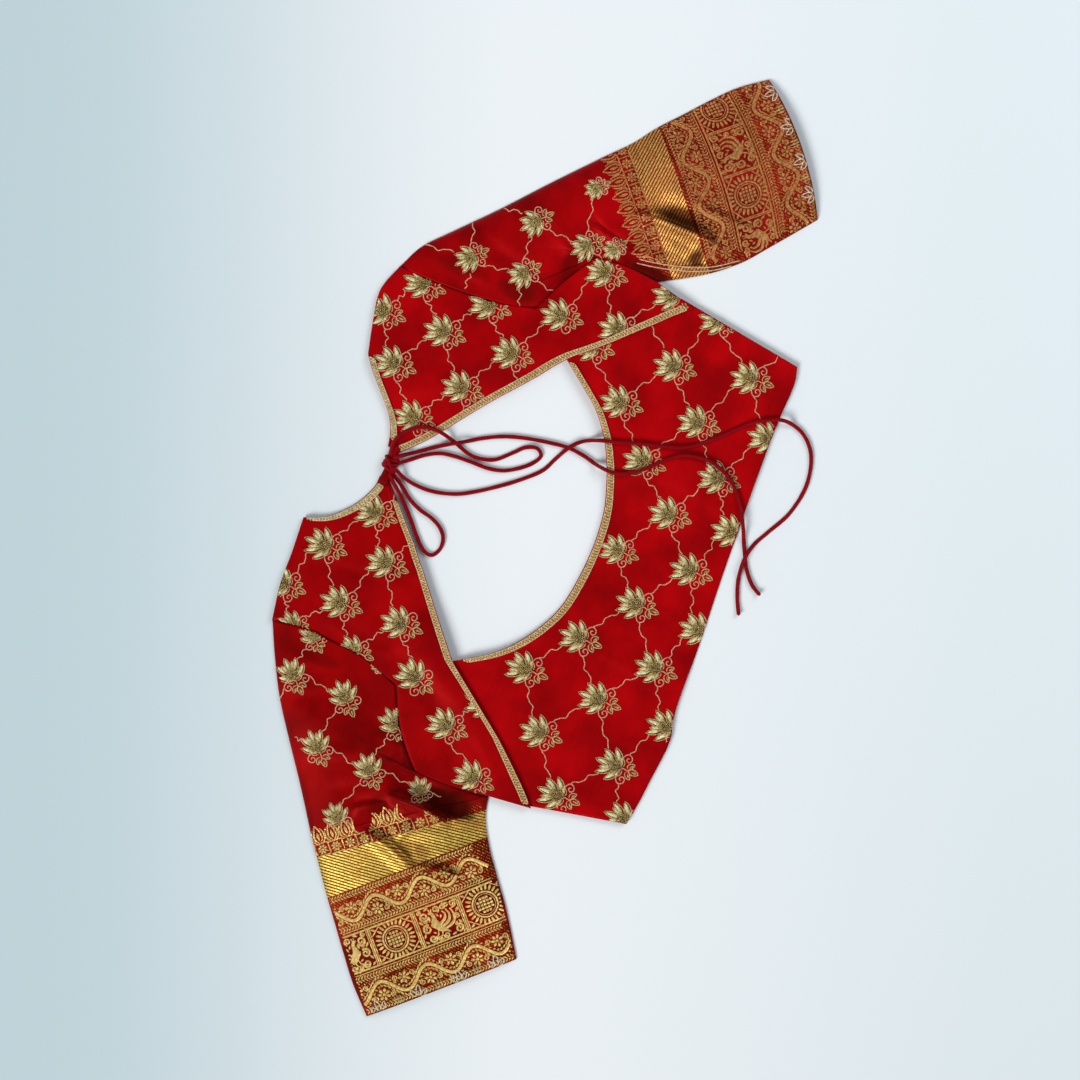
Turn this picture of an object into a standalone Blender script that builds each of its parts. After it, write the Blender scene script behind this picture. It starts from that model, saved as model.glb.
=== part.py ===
"""Choli blouse laid face down on a flat surface, seen from its back. Metres, +Z up.

+Y runs to the neck and +X to the wearer's right. The two fronts lie flat at the bottom, turned
back on themselves, so that the open back shows the surface under it. On them lie the lower back
and, over its upper edge, the two straps that come down from the shoulders. The sleeves are flat
tubes, each with a brocade border sewn to its lower end. Two ties are knotted in a bow at the nape.
"""
from collections import namedtuple

import bmesh
import bpy
import numpy as np

# Driving sizes, in millimetres
MM = 0.001
CLOTH = 1.5            # wall of every panel and sleeve
FRONT_CLOTH = 3.0      # the fronts are folded, so two walls share one solid
SEAM_GAP = 0.5         # between pieces at a seam
LAYER_GAP = 0.4        # the lower back over the fronts
STRAP_LIFT = 2.4       # the straps' underside over the lower back's underside
LAP = 14.0             # how far the straps reach over the lower back
LIFT_EASES = (6.0, 45.0)    # past the lap, over which a strap comes down again
LAP_STARTS = (5.5, 7.5)     # stations of the strap where it starts to lie on the lower back
TRIM_WIDTH = 6.0
TRIM_INSET = 0.8       # plain edge left outside a trim
TRIM_THICKNESS = 1.0
TRIM_GAP = 0.3         # a trim over its panel
BACK_RISE = 3.0        # how far the back swells over the fronts
FLOOR_SAG = 2.8        # how far the back sinks between the fronts, to the floor
SAG_HALF_WIDTH = 45.0  # of the part of the back that lies on the floor
FRONTS_APART = 86.0    # from the middle to where the fronts begin
SAG_BELOW = (-50.0, -20.0)  # Y over which the sag ends at the curved edge
SAG_ABOVE = (60.0, 90.0)    # and begins again towards the nape
BODY_MIDDLE = 8.0      # X of the bodice's middle
BODY_HALF_WIDTH = 232.0
BODY_HALF_HEIGHT = 195.0
SLEEVE_FOLD_HEIGHT = 3.2   # height of a sleeve's folded edges
FOLD_WALL = 2.2        # the wall across those edges
ARCH_FLATNESS, ARCH_ROUNDNESS = 2.5, 0.6   # powers that shape a sleeve's crown
ARMHOLE_EASE = 1.6     # sleeve rows over which the armhole's curve straightens
CORD_DIAMETER = 3.6
CORD_STEP = 5.6        # between a cord's points
CORD_REACH = 3.2       # how near cloth lifts a cord
CORD_CLEAR = 0.35      # a cord over what it lies on
END_FALL = 22.0        # over which a cord comes down from the knot
CORD_STIFF = 6         # millimetres that a cord keeps its height beside what lifts it
CORD_EASE = 9          # millimetres over which its height is then evened out
KNOT_CENTRE = (9.0, 124.0, 4.6)
KNOT_HALF = (12.5, 7.0, 4.6)
KNOT_FLOOR = 0.4       # the knot's flattened underside

# A panel is a set of stations. At each one a straight line runs from its A side to its B side.
Station = namedtuple("Station", "ax ay bx by corner", defaults=(0,))

# The straps run from the nape to the side seam: A is the edge of the open back, B the neckline,
# then the shoulder, then the armhole.
STRAP_LEFT = [
    Station(-4, 119, -3, 128),
    Station(-19, 104.5, -14, 129.5),
    Station(-33, 91.5, -31, 137.5),
    Station(-46, 79, -46, 150),
    Station(-57, 70, -55, 162),
    Station(-66, 62, -60.5, 176, 1),
    Station(-86, 45.5, -91, 174),
    Station(-107, 28, -121, 173),
    Station(-127, 11, -152, 168, 1),
    Station(-140, -6, -148.5, 136),
    Station(-153, -23, -150, 112),
    Station(-164, -37.5, -153, 84),
    Station(-175, -52, -164, 48, 1),
    Station(-187, -66, -197, 31),
    Station(-199, -79.5, -227, 6, 1),
    Station(-209, -90, -227, -28),
    Station(-219, -99, -223, -61),
]
STRAP_RIGHT = [
    Station(21.2, 121, 23, 131),
    Station(31, 111, 36, 134.5),
    Station(42, 101, 49, 141.5),
    Station(55, 91, 62, 153),
    Station(68, 81.5, 77, 167),
    Station(80, 72.5, 90, 177, 1),
    Station(96, 60, 117, 183.5),
    Station(112, 46.5, 145, 188),
    Station(128, 33.5, 170, 180, 1),
    Station(141, 24, 169, 146),
    Station(153, 13.5, 170, 117),
    Station(166, -1, 173.5, 86),
    Station(180, -16, 180, 58, 1),
    Station(194, -30, 211, 44),
    Station(207, -43.5, 241, 26, 1),
    Station(219, -55, 243, -2),
    Station(231, -68, 240.5, -30),
]
NECK_POINT, SHOULDER_POINT, ARMHOLE_TURN, STRAP_END = 5, 8, 12, 16

# The lower back runs from the left side seam to the right one: A is the hem, B the upper edge,
# which lies under the straps outside the stations marked as corners.
BACK_LOWER = [
    Station(-201, -180, -221, -81),
    Station(-180, -183, -199, -57),
    Station(-158, -185, -174, -28),
    Station(-140, -187, -151, 3),
    Station(-128, -188, -133, 21, 1),
    Station(-117, -187.5, -119.5, -1),
    Station(-106, -184.5, -107.5, -18.5),
    Station(-92, -182.5, -92, -34),
    Station(-72, -181.5, -73, -47),
    Station(-47, -181, -50, -57.5),
    Station(-18, -179.5, -21, -62.5),
    Station(13, -177.5, 10, -64),
    Station(41, -176, 39, -61.5),
    Station(66, -175, 62, -55),
    Station(86, -174, 82, -47),
    Station(104, -173, 101, -36.5),
    Station(120, -172.5, 118, -23),
    Station(135, -172, 130.5, -8),
    Station(150, -171.5, 141.5, 6.5),
    Station(165, -171.5, 155, 24, 1),
    Station(180, -171.8, 175, 8),
    Station(193, -172.4, 197, -13),
    Station(206, -172, 216, -34),
    Station(218, -169, 235, -55),
]
LOWER_TRIM_FROM, LOWER_TRIM_TO = 4.75, 18.5   # where the straps' edges cross the curve

# The fronts run from the shoulder to the hem: A is the fold, B the armhole and side seam.
FRONT_LEFT = [
    Station(-82, 171, -149, 165.5),
    Station(-83, 125, -146.5, 132),
    Station(-87, 74, -151, 84),
    Station(-110, 42, -162, 46, 1),
    Station(-136, 14, -223, 4, 1),
    Station(-134, -12, -223, -30),
    Station(-118, -38, -219, -63),
    Station(-98, -64, -216, -95),
    Station(-88, -100, -212, -120),
    Station(-86, -140, -205, -150),
    Station(-86, -178.5, -199, -177),
]
FRONT_RIGHT = [
    Station(98, 175, 166, 176.5),
    Station(100, 130, 166, 140),
    Station(107, 82, 170, 90),
    Station(124, 50, 178, 55, 1),
    Station(150, 29, 237, 23, 1),
    Station(162, 8, 239, -5),
    Station(152, -12, 236.5, -32),
    Station(126, -45, 230, -70),
    Station(106, -82, 226, -98),
    Station(100, -125, 221, -132),
    Station(100, -169.5, 215.5, -165.5),
]

# A sleeve's rows run from the armhole to the border. Its inner end follows the strap's B side.
SleeveRow = namedtuple("SleeveRow", "outer_x outer_y strap_station crown")
SLEEVE_LEFT = [
    SleeveRow(-152, 168, 12, 7.5),
    SleeveRow(-182, 153.5, 13, 9.5),
    SleeveRow(-212, 137, 14, 11.5),
    SleeveRow(-241, 117, 15, 12.5),
    SleeveRow(-275, 92.5, 15.5, 13.0),
    SleeveRow(-311, 68, 16, 13.5),
]
SLEEVE_RIGHT = [
    SleeveRow(170, 180, 12, 7.5),
    SleeveRow(193, 169, 13, 9.5),
    SleeveRow(217, 147.5, 14, 11.5),
    SleeveRow(249, 118, 15, 12.5),
    SleeveRow(285, 87, 15.5, 13.0),
    SleeveRow(323, 53, 16, 13.5),
]
# A border's rows run from its seam to the sleeve's hem; bow is how far the row's middle is out.
BorderRow = namedtuple("BorderRow", "outer_x outer_y inner_x inner_y bow crown")
BORDER_LEFT = [
    BorderRow(-332, 52.5, -243, -66.5, 0, 13.5),
    BorderRow(-353, 37, -263, -78, 0, 13.0),
    BorderRow(-374, 20.5, -284, -93.5, 0, 12.5),
    BorderRow(-395, 4, -304, -109, 0, 12.0),
    BorderRow(-417, -14, -325, -123.5, 0, 11.0),
    BorderRow(-438, -35, -344, -136, 0, 9.5),
]
BORDER_RIGHT = [
    BorderRow(343, 34.5, 252, -50, 0, 13.5),
    BorderRow(363, 20, 266, -71.5, 1, 13.0),
    BorderRow(382, 3.5, 284, -92, 3, 12.5),
    BorderRow(402, -13.5, 303, -107.5, 4, 12.0),
    BorderRow(421, -31.5, 322, -122.5, 6, 11.0),
    BorderRow(438, -54, 342, -138, 7, 9.5),
]
# Around a sleeve: fractions of its width, closest together at the folds
AROUND = [0, 0.03, 0.125, 0.25, 0.375, 0.5, 0.625, 0.75, 0.875, 0.97, 1]

# The largest folds: a line on the cloth, its half width and its height, a trough where below 0
Fold = namedtuple("Fold", "x0 y0 x1 y1 width height")
BODICE_FOLDS = [
    Fold(-97, -170, -90, -95, 15, -1.6),
    Fold(-140, -150, -160, -70, 17, 1.4),
    Fold(-35, -160, -30, -85, 20, 1.2),
    Fold(40, -160, 52, -80, 18, -1.1),
    Fold(150, -150, 168, -50, 20, 1.4),
    Fold(-112, 150, -132, 60, 15, 1.3),
    Fold(-205, -20, -158, 30, 12, -1.3),
    Fold(118, 165, 142, 75, 15, 1.3),
    Fold(180, 30, 225, -10, 12, -1.2),
]
SLEEVE_FOLDS = [
    Fold(-292, 18, -236, -12, 11, -3.5),
    Fold(-302, -2, -272, -62, 10, 2.6),
    Fold(-262, 2, -238, -48, 9, -3.5),
    Fold(-230, 110, -190, 70, 16, 1.5),
    Fold(-400, -25, -330, -95, 18, 1.0),
    Fold(296, -8, 284, -62, 9, -3.6),
    Fold(312, -20, 298, -80, 11, 2.4),
    Fold(258, -2, 268, -60, 8, 2.4),
    Fold(200, 60, 246, 22, 10, -2.6),
    Fold(360, -10, 390, -70, 18, 1.0),
]

# The ties, from the knot outwards, in plan. Each route's points were placed by eye.
TIE_LONG = [
    (6.5, 116.4), (3, 108), (1, 94), (2, 79), (7, 62), (15, 47.5), (25, 33), (38, 16.5), (53, 1),
    (67, -6), (80, -13), (90, -22.5), (96, -36), (100, -50), (105.5, -66), (110, -82),
    (114.5, -98), (121.5, -111.5), (132, -124), (145, -137), (157, -149), (166.5, -163), (171, -179),
    (166, -196), (151, -209), (126, -214.5), (99, -210), (77, -199), (62, -191.5), (47, -188.5),
    (30, -190.5), (15, -195.5), (1, -202.5),
]
TIE_SHORT = [
    (20.2, 117.4), (27, 108), (34.5, 98), (41.5, 88), (50, 74), (59.5, 59.5), (68, 43), (73.5, 26),
    (77.5, 7), (80, -12), (78.5, -28), (75, -43), (74.5, -57), (79.5, -70), (90, -83), (101, -93.5),
    (109.5, -104), (114, -118), (114, -133), (108, -149), (96, -162.5), (78, -174.5), (58, -184.5),
    (41, -193.5), (30, -203), (24, -213),
]
BOW_LEFT = [
    (-1, 118.8), (-7.5, 111), (-15, 102.5), (-23, 94.5), (-31, 87), (-40.5, 78.5), (-48.5, 69.5),
    (-49.5, 61.5), (-42, 57), (-32.5, 58), (-25, 64), (-20, 74), (-17, 86), (-12, 97), (-4.5, 107),
    (2.2, 117.4),
]
BOW_RIGHT = [
    (21.5, 127), (30, 127.5), (40, 122.5), (48, 113), (51.5, 102), (50.5, 90), (47, 77), (43.3, 66),
    (42.8, 55), (47, 42), (57, 31), (66.5, 21.5), (69.5, 12), (64.5, 6.5), (56, 11), (47.5, 20.5),
    (40.8, 32), (37.8, 45), (37.4, 60), (36.8, 74), (34.5, 87), (28.5, 98.5), (20.5, 108.5), (14, 116.4),
]

# Base colours with roughness and metallic
RED_CLOTH = ((0.42, 0.005, 0.012), 0.75, 0.0)
BROCADE = ((0.55, 0.27, 0.08), 0.5, 0.4)
GOLD_TRIM = ((0.62, 0.46, 0.18), 0.45, 0.5)
SILVER_TRIM = ((0.58, 0.5, 0.36), 0.45, 0.5)
TIE_RED = ((0.2, 0.004, 0.012), 0.7, 0.0)


def clear_scene():
    """Remove whatever the scene holds."""
    for thing in list(bpy.data.objects):
        bpy.data.objects.remove(thing, do_unlink=True)


def smooth_step(low, high, value):
    """0 below low, 1 above high, and a soft curve between."""
    part = np.clip((value - low) / (high - low), 0, 1)
    return part * part * (3 - 2 * part)


def through(points, corners, stations):
    """A Catmull-Rom curve through points, read at the given stations; it breaks at corners."""
    points = np.asarray(points, float)
    corners = np.asarray(corners, bool)
    last = len(points) - 1
    start = np.clip(np.floor(stations).astype(int), 0, last - 1)
    part = (np.asarray(stations) - start)[..., None]
    a, b = points[start], points[start + 1]
    before_known = (start > 0) & ~corners[start]
    after_known = (start + 2 <= last) & ~corners[start + 1]
    before = np.where(before_known[..., None], points[np.maximum(start - 1, 0)], 2 * a - b)
    after = np.where(after_known[..., None], points[np.minimum(start + 2, last)], 2 * b - a)
    return 0.5 * (2 * a + (b - before) * part + (2 * before - 5 * a + 4 * b - after) * part**2
                  + (3 * a - 3 * b + after - before) * part**3)


def side(rows, which, stations):
    """Points of a panel's A or B side at the stations."""
    points = [(row.ax, row.ay) if which == "A" else (row.bx, row.by) for row in rows]
    return through(points, [row.corner for row in rows], np.asarray(stations, float))


def across(rows, stations, fractions):
    """Points in plan on the straight lines between a panel's sides."""
    a = side(rows, "A", stations)[:, None]
    b = side(rows, "B", stations)[:, None]
    return a + (b - a) * np.asarray(fractions)[..., None]


def folds_at(x, y, folds):
    """The summed height of the folds: each one falls off as a bell on both sides of its line."""
    height = np.zeros_like(x)
    for fold in folds:
        run = np.array([fold.x1 - fold.x0, fold.y1 - fold.y0])
        along = np.clip(((x - fold.x0) * run[0] + (y - fold.y0) * run[1]) / (run @ run), 0, 1)
        away = np.hypot(x - fold.x0 - along * run[0], y - fold.y0 - along * run[1])
        height += fold.height * np.exp(-((away / fold.width) ** 2))
    return height


def bodice_height(x, y):
    """Underside of the lower back: on the fronts at its edges, lower in the middle, swelling."""
    swell = np.clip(1 - ((x - BODY_MIDDLE) / BODY_HALF_WIDTH) ** 2, 0, 1)
    swell = swell * np.clip(1 - (y / BODY_HALF_HEIGHT) ** 2, 0, 1)
    gap_side = 1 - smooth_step(SAG_HALF_WIDTH, FRONTS_APART, np.abs(x - BODY_MIDDLE))
    between = gap_side * np.maximum(1 - smooth_step(*SAG_BELOW, y), smooth_step(*SAG_ABOVE, y))
    base = FRONT_CLOTH + LAYER_GAP - FLOOR_SAG * between
    return base + swell * (BACK_RISE + folds_at(x, y, BODICE_FOLDS))


def strap_height(rows, stations, fractions, plan):
    """Underside of a strap: clear of the lower back where it laps over it, then easing down."""
    width = np.linalg.norm(side(rows, "B", stations) - side(rows, "A", stations), axis=-1)
    inward = width[:, None] * np.asarray(fractions)
    lapped = smooth_step(*LAP_STARTS, stations)[:, None]
    lift = STRAP_LIFT * lapped * (1 - smooth_step(LAP + LIFT_EASES[0], LAP + LIFT_EASES[1], inward))
    return bodice_height(plan[..., 0], plan[..., 1]) + lift


def material(name, look):
    """A Principled material of one colour."""
    colour, roughness, metallic = look
    made = bpy.data.materials.new(name)
    made.use_nodes = True
    shader = made.node_tree.nodes["Principled BSDF"]
    shader.inputs["Base Color"].default_value = (*colour, 1.0)
    shader.inputs["Roughness"].default_value = roughness
    shader.inputs["Metallic"].default_value = metallic
    return made


def grid_mesh(name, points, closed=False):
    """A grid with its points placed from an array in millimetres; closed joins it into a tube."""
    columns, rows = points.shape[0] - 1, points.shape[1] - 1
    bm = bmesh.new()
    bmesh.ops.create_grid(bm, x_segments=columns, y_segments=rows, size=1.0)
    for vertex in bm.verts:
        column = round((vertex.co.x + 1) / 2 * columns)
        row = round((vertex.co.y + 1) / 2 * rows)
        vertex.co = points[column, row] * MM
    if closed:
        bmesh.ops.remove_doubles(bm, verts=bm.verts, dist=1e-6)
    bm.normal_update()
    highest = max(bm.faces, key=lambda face: face.calc_center_median().z)
    if highest.normal.z < 0:
        bmesh.ops.reverse_faces(bm, faces=bm.faces)
    mesh = bpy.data.meshes.new(name)
    bm.to_mesh(mesh)
    bm.free()
    mesh.shade_smooth()
    return mesh


def place(name, data, look, collection):
    """Link an object with its own material."""
    made = bpy.data.objects.new(name, data)
    data.materials.append(material(name, look))
    collection.objects.link(made)
    return made


def thicken(piece, thickness, outward):
    """Give an open surface its wall, on its outer or its inner side."""
    wall = piece.modifiers.new("wall", "SOLIDIFY")
    wall.thickness = thickness * MM
    wall.offset = 1.0 if outward else -1.0
    wall.use_even_offset = True
    return piece


def panel_points(rows, per_station, fractions, height):
    """A panel's underside as an array of points, from its plan and its height function."""
    stations = np.linspace(0, len(rows) - 1, (len(rows) - 1) * per_station + 1)
    fractions = np.tile(fractions, (len(stations), 1))
    plan = across(rows, stations, fractions)
    return np.concatenate([plan, height(stations, fractions, plan)[..., None]], axis=-1)


def build_panel(name, rows, fractions, height, thickness, collection):
    """A flat-laid panel: its underside as a grid, its wall above it."""
    points = panel_points(rows, 2, fractions, height)
    piece = place(name, grid_mesh(name, points), RED_CLOTH, collection)
    return thicken(piece, thickness, outward=True)


def edge_strip(rows, which, first, last, height, steps):
    """Underside of a trim that lies just inside one side of a panel, from its points moved out."""
    stations = np.linspace(first, last, steps + 1)
    width = np.linalg.norm(side(rows, "B", stations) - side(rows, "A", stations), axis=-1)
    inset = np.array([TRIM_INSET, TRIM_INSET + TRIM_WIDTH])
    fractions = inset[None] / width[:, None]
    if which == "B":
        fractions = 1 - fractions
    plan = across(rows, stations, fractions)
    z = height(stations, fractions, plan) + CLOTH + TRIM_GAP
    return np.concatenate([plan, z[..., None]], axis=-1)


def build_trim(name, points, look, collection):
    """A flat braid of one width."""
    piece = place(name, grid_mesh(name, points), look, collection)
    return thicken(piece, TRIM_THICKNESS, outward=True)


def armhole_edge(rows, stations):
    """The strap's B side moved out across the seam gap, square to its own run, off the body."""
    stations = np.asarray(stations, float)
    last = len(rows) - 1
    here = side(rows, "B", stations)
    run = (side(rows, "B", np.minimum(stations + 0.05, last))
           - side(rows, "B", np.maximum(stations - 0.05, 0)))
    square = np.stack([-run[:, 1], run[:, 0]], axis=-1)
    square /= np.linalg.norm(square, axis=-1)[:, None]
    square *= np.sign(square[:, :1] * np.sign(here[:, :1] - BODY_MIDDLE))
    return here + SEAM_GAP * square


def sleeve_plan(sleeve, strap, per_row):
    """Plan of the sleeve: its first line is the armhole seam, eased into straight lines."""
    rows = np.linspace(0, len(sleeve) - 1, (len(sleeve) - 1) * per_row + 1)
    outer = through([(row.outer_x, row.outer_y) for row in sleeve], [0] * len(sleeve), rows)
    strap_stations = np.interp(rows, range(len(sleeve)), [row.strap_station for row in sleeve])
    inner = armhole_edge(strap, strap_stations)
    fractions = np.array(AROUND)
    seam = armhole_edge(strap, SHOULDER_POINT + (ARMHOLE_TURN - SHOULDER_POINT) * fractions)
    outer[0] = seam[0]
    straight = outer[:, None] + (inner - outer)[:, None] * fractions[:, None]
    ease = (1 - smooth_step(0, ARMHOLE_EASE, rows))[:, None, None]
    plan = straight + (seam - straight[0]) * ease
    crown = np.interp(rows, range(len(sleeve)), [row.crown for row in sleeve])
    return plan, crown


def border_plan(border, sleeve_end, sleeve_crown, per_row):
    """Plan of the border: its first line is the sleeve's last one, moved across the seam gap."""
    outer = np.array([sleeve_end[0]] + [(row.outer_x, row.outer_y) for row in border])
    inner = np.array([sleeve_end[-1]] + [(row.inner_x, row.inner_y) for row in border])
    plain = [0] * len(outer)
    rows = np.linspace(0, len(border), len(border) * per_row + 1)
    outer, inner = through(outer, plain, rows), through(inner, plain, rows)
    fractions = np.array(AROUND)
    bow = np.interp(rows, range(len(border) + 1), [0] + [row.bow for row in border])
    down = (outer[-1] + inner[-1] - outer[0] - inner[0]) / 2
    down /= np.linalg.norm(down)
    plan = outer[:, None] + (inner - outer)[:, None] * fractions[:, None]
    plan += (bow[:, None] * 4 * fractions * (1 - fractions))[..., None] * down
    plan[0] += down * SEAM_GAP
    crown = np.interp(rows, range(len(border) + 1), [sleeve_crown] + [row.crown for row in border])
    return plan, crown


def tube_points(plan, crown):
    """A flat-laid tube's outer rings and, back to the start, its inner ones, as one closed grid.

    A ring runs over the crown from fold to fold and back along the floor. The inner rings stand a
    wall inside, in the same upright planes, so that the tube's ends stay square to its seams.
    """
    fractions = np.array(AROUND)
    arch = np.clip(1 - np.abs(2 * fractions - 1) ** ARCH_FLATNESS, 0, 1) ** ARCH_ROUNDNESS
    top = SLEEVE_FOLD_HEIGHT + (crown[:, None] - SLEEVE_FOLD_HEIGHT) * arch
    top = top + arch * folds_at(plan[..., 0], plan[..., 1], SLEEVE_FOLDS)
    inward = plan[:, ::-1] - plan
    width = np.linalg.norm(plan[:, -1] - plan[:, 0], axis=-1)[:, None, None]
    inner_plan = plan + inward * FOLD_WALL / width
    rings = []
    for flat, high, low in [(plan, top, 0.0), (inner_plan, top - CLOTH, CLOTH)]:
        high = high.copy()
        high[:, [0, -1]] = SLEEVE_FOLD_HEIGHT
        over = np.concatenate([flat, high[..., None]], axis=-1)
        back = over[:, -2::-1].copy()
        back[:, :-1, 2] = low
        rings.append(np.concatenate([over, back], axis=1))
    outer, inner = rings
    return np.concatenate([outer, inner[::-1], outer[:1]])


def build_tube(name, plan, crown, look, collection):
    """A sleeve or border as a tube with a wall."""
    return place(name, grid_mesh(name, tube_points(plan, crown), closed=True), look, collection)


def build_knot(collection):
    """The bow's knot: a rounded lump with a flat underside."""
    bm = bmesh.new()
    bmesh.ops.create_uvsphere(bm, u_segments=16, v_segments=9, radius=1.0)
    for vertex in bm.verts:
        shape = [centre + half * value for centre, half, value in zip(KNOT_CENTRE, KNOT_HALF, vertex.co)]
        shape[2] = max(shape[2], KNOT_FLOOR)
        vertex.co = [value * MM for value in shape]
    mesh = bpy.data.meshes.new("knot")
    bm.to_mesh(mesh)
    bm.free()
    mesh.shade_smooth()
    return place("knot", mesh, TIE_RED, collection)


def cord_path(route, tops, earlier):
    """A route's smooth curve, a point each millimetre or so, laid on all that is under it.

    Its height is the highest cloth or cord within reach, held for a short way on both sides and
    then evened out, so that it passes over things in long low humps.
    """
    count = len(route)
    spread = np.linspace(0, count - 1, (count - 1) * 16 + 1)
    plan = through(route, [0] * count, spread)
    run = np.concatenate([[0], np.cumsum(np.linalg.norm(np.diff(plan, axis=0), axis=1))])
    along = np.linspace(0, run[-1], int(run[-1]) + 1)
    plan = np.stack([np.interp(along, run, plan[:, 0]), np.interp(along, run, plan[:, 1])], axis=-1)
    radius = CORD_DIAMETER / 2
    under = np.zeros(len(along))
    crossed = [(cord + [0, 0, radius], CORD_DIAMETER) for cord in earlier]
    for cloud, reach in [(tops, CORD_REACH), *crossed]:
        away = np.linalg.norm(plan[:, None] - cloud[None, :, :2], axis=-1)
        near = np.where(away < reach, cloud[None, :, 2], 0.0).max(axis=1)
        under = np.maximum(under, near)
    padded = np.pad(under, CORD_STIFF, mode="edge")
    wide = np.max([np.roll(padded, shift) for shift in range(-CORD_STIFF, CORD_STIFF + 1)], axis=0)
    soft = np.convolve(wide, np.ones(CORD_EASE) / CORD_EASE, mode="same")[CORD_STIFF:-CORD_STIFF]
    z = soft + radius + CORD_CLEAR
    return plan, z, along


def settle_ends(plan, z, along, lifts):
    """Raise a cord's ends to where the knot holds them, over a short stretch."""
    first, last = lifts
    for lift, away in [(first, along), (last, along[-1] - along)]:
        if lift:
            z = np.maximum(z, lift + (z - lift) * smooth_step(0, END_FALL, away))
    return np.concatenate([plan, z[:, None]], axis=-1)


def build_cord(name, path, collection):
    """A tie as a round tube on evenly spaced points of its path."""
    run = np.concatenate([[0], np.cumsum(np.linalg.norm(np.diff(path, axis=0), axis=1))])
    stops = np.linspace(0, run[-1], int(round(run[-1] / CORD_STEP)) + 1)
    points = np.stack([np.interp(stops, run, path[:, axis]) for axis in range(3)], axis=-1) * MM
    curve = bpy.data.curves.new(name, "CURVE")
    curve.dimensions = "3D"
    curve.bevel_depth = CORD_DIAMETER / 2 * MM
    curve.bevel_resolution = 2
    curve.use_fill_caps = True
    spline = curve.splines.new("POLY")
    spline.points.add(len(points) - 1)
    for point, place_at in zip(spline.points, points):
        point.co = (*place_at, 1.0)
    return place(name, curve, TIE_RED, collection)


def top_samples(pieces, trims):
    """Points on the upper faces of panels and trims, a few millimetres apart."""
    samples = []
    for rows, height in pieces:
        points = panel_points(rows, 12, np.linspace(0, 1, 50), height)
        samples.append((points + [0, 0, CLOTH]).reshape(-1, 3))
    for points in trims:
        fine = np.linspace(0, len(points) - 1, len(points) * 6)
        edges = [through(points[:, column], [0] * len(points), fine) for column in (0, 1)]
        samples += [edge + [0, 0, TRIM_THICKNESS] for edge in edges]
    return np.concatenate(samples)


def main():
    clear_scene()
    collection = bpy.data.collections.new("choli_blouse")
    bpy.context.scene.collection.children.link(collection)
    back_fractions, front_fractions = np.linspace(0, 1, 7), np.linspace(0, 1, 4)

    def on_floor(stations, fractions, plan):
        return np.zeros(plan.shape[:-1])

    def on_fronts(stations, fractions, plan):
        return bodice_height(plan[..., 0], plan[..., 1])

    build_panel("front_left", FRONT_LEFT, front_fractions, on_floor, FRONT_CLOTH, collection)
    build_panel("front_right", FRONT_RIGHT, front_fractions, on_floor, FRONT_CLOTH, collection)
    build_panel("back_lower", BACK_LOWER, back_fractions, on_fronts, CLOTH, collection)
    lower_trim = edge_strip(BACK_LOWER, "B", LOWER_TRIM_FROM, LOWER_TRIM_TO, on_fronts, 30)
    build_trim("lower_trim", lower_trim, GOLD_TRIM, collection)

    tops, trims = [(BACK_LOWER, on_fronts)], [lower_trim]
    sides = [("left", STRAP_LEFT, SLEEVE_LEFT, BORDER_LEFT),
             ("right", STRAP_RIGHT, SLEEVE_RIGHT, BORDER_RIGHT)]
    for word, strap, sleeve, border in sides:
        def on_strap(stations, fractions, plan, rows=strap):
            return strap_height(rows, stations, fractions, plan)

        build_panel(f"back_strap_{word}", strap, back_fractions, on_strap, CLOTH, collection)
        strap_trim = edge_strip(strap, "A", 1, STRAP_END - 0.3, on_strap, 30)
        build_trim(f"strap_trim_{word}", strap_trim, GOLD_TRIM, collection)
        neck_trim = edge_strip(strap, "B", 0.6, NECK_POINT - 0.1, on_strap, 10)
        build_trim(f"neck_trim_{word}", neck_trim, SILVER_TRIM, collection)
        tops.append((strap, on_strap))
        trims += [strap_trim, neck_trim]
        plan, crown = sleeve_plan(sleeve, strap, 2)
        build_tube(f"sleeve_{word}", plan, crown, RED_CLOTH, collection)
        plan, crown = border_plan(border, plan[-1], crown[-1], 2)
        build_tube(f"sleeve_border_{word}", plan, crown, BROCADE, collection)

    build_knot(collection)
    samples = top_samples(tops, trims)
    knot_height = KNOT_CENTRE[2]
    laid = []
    for name, route, lifts in [("bow_right", BOW_RIGHT, (knot_height + CORD_DIAMETER / 2, knot_height)),
                               ("bow_left", BOW_LEFT, (knot_height, knot_height)),
                               ("tie_short", TIE_SHORT, (knot_height, None)),
                               ("tie_long", TIE_LONG, (knot_height, None))]:
        path = settle_ends(*cord_path(route, samples, laid), lifts)
        build_cord(name, path, collection)
        laid.append(path)


main()
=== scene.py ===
"""Choli blouse laid face down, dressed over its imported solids.

Sizes are millimetres in the CAD frame until a mesh is made. Each cloth is a thin shell on its
solid's form with finer creases. Embroidery, braid and woven figures are worked out flat, in plan,
and laid on the cloth with a map of its height.
"""
from collections import namedtuple

import bpy
import numpy as np
from mathutils import Matrix, Vector


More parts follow.
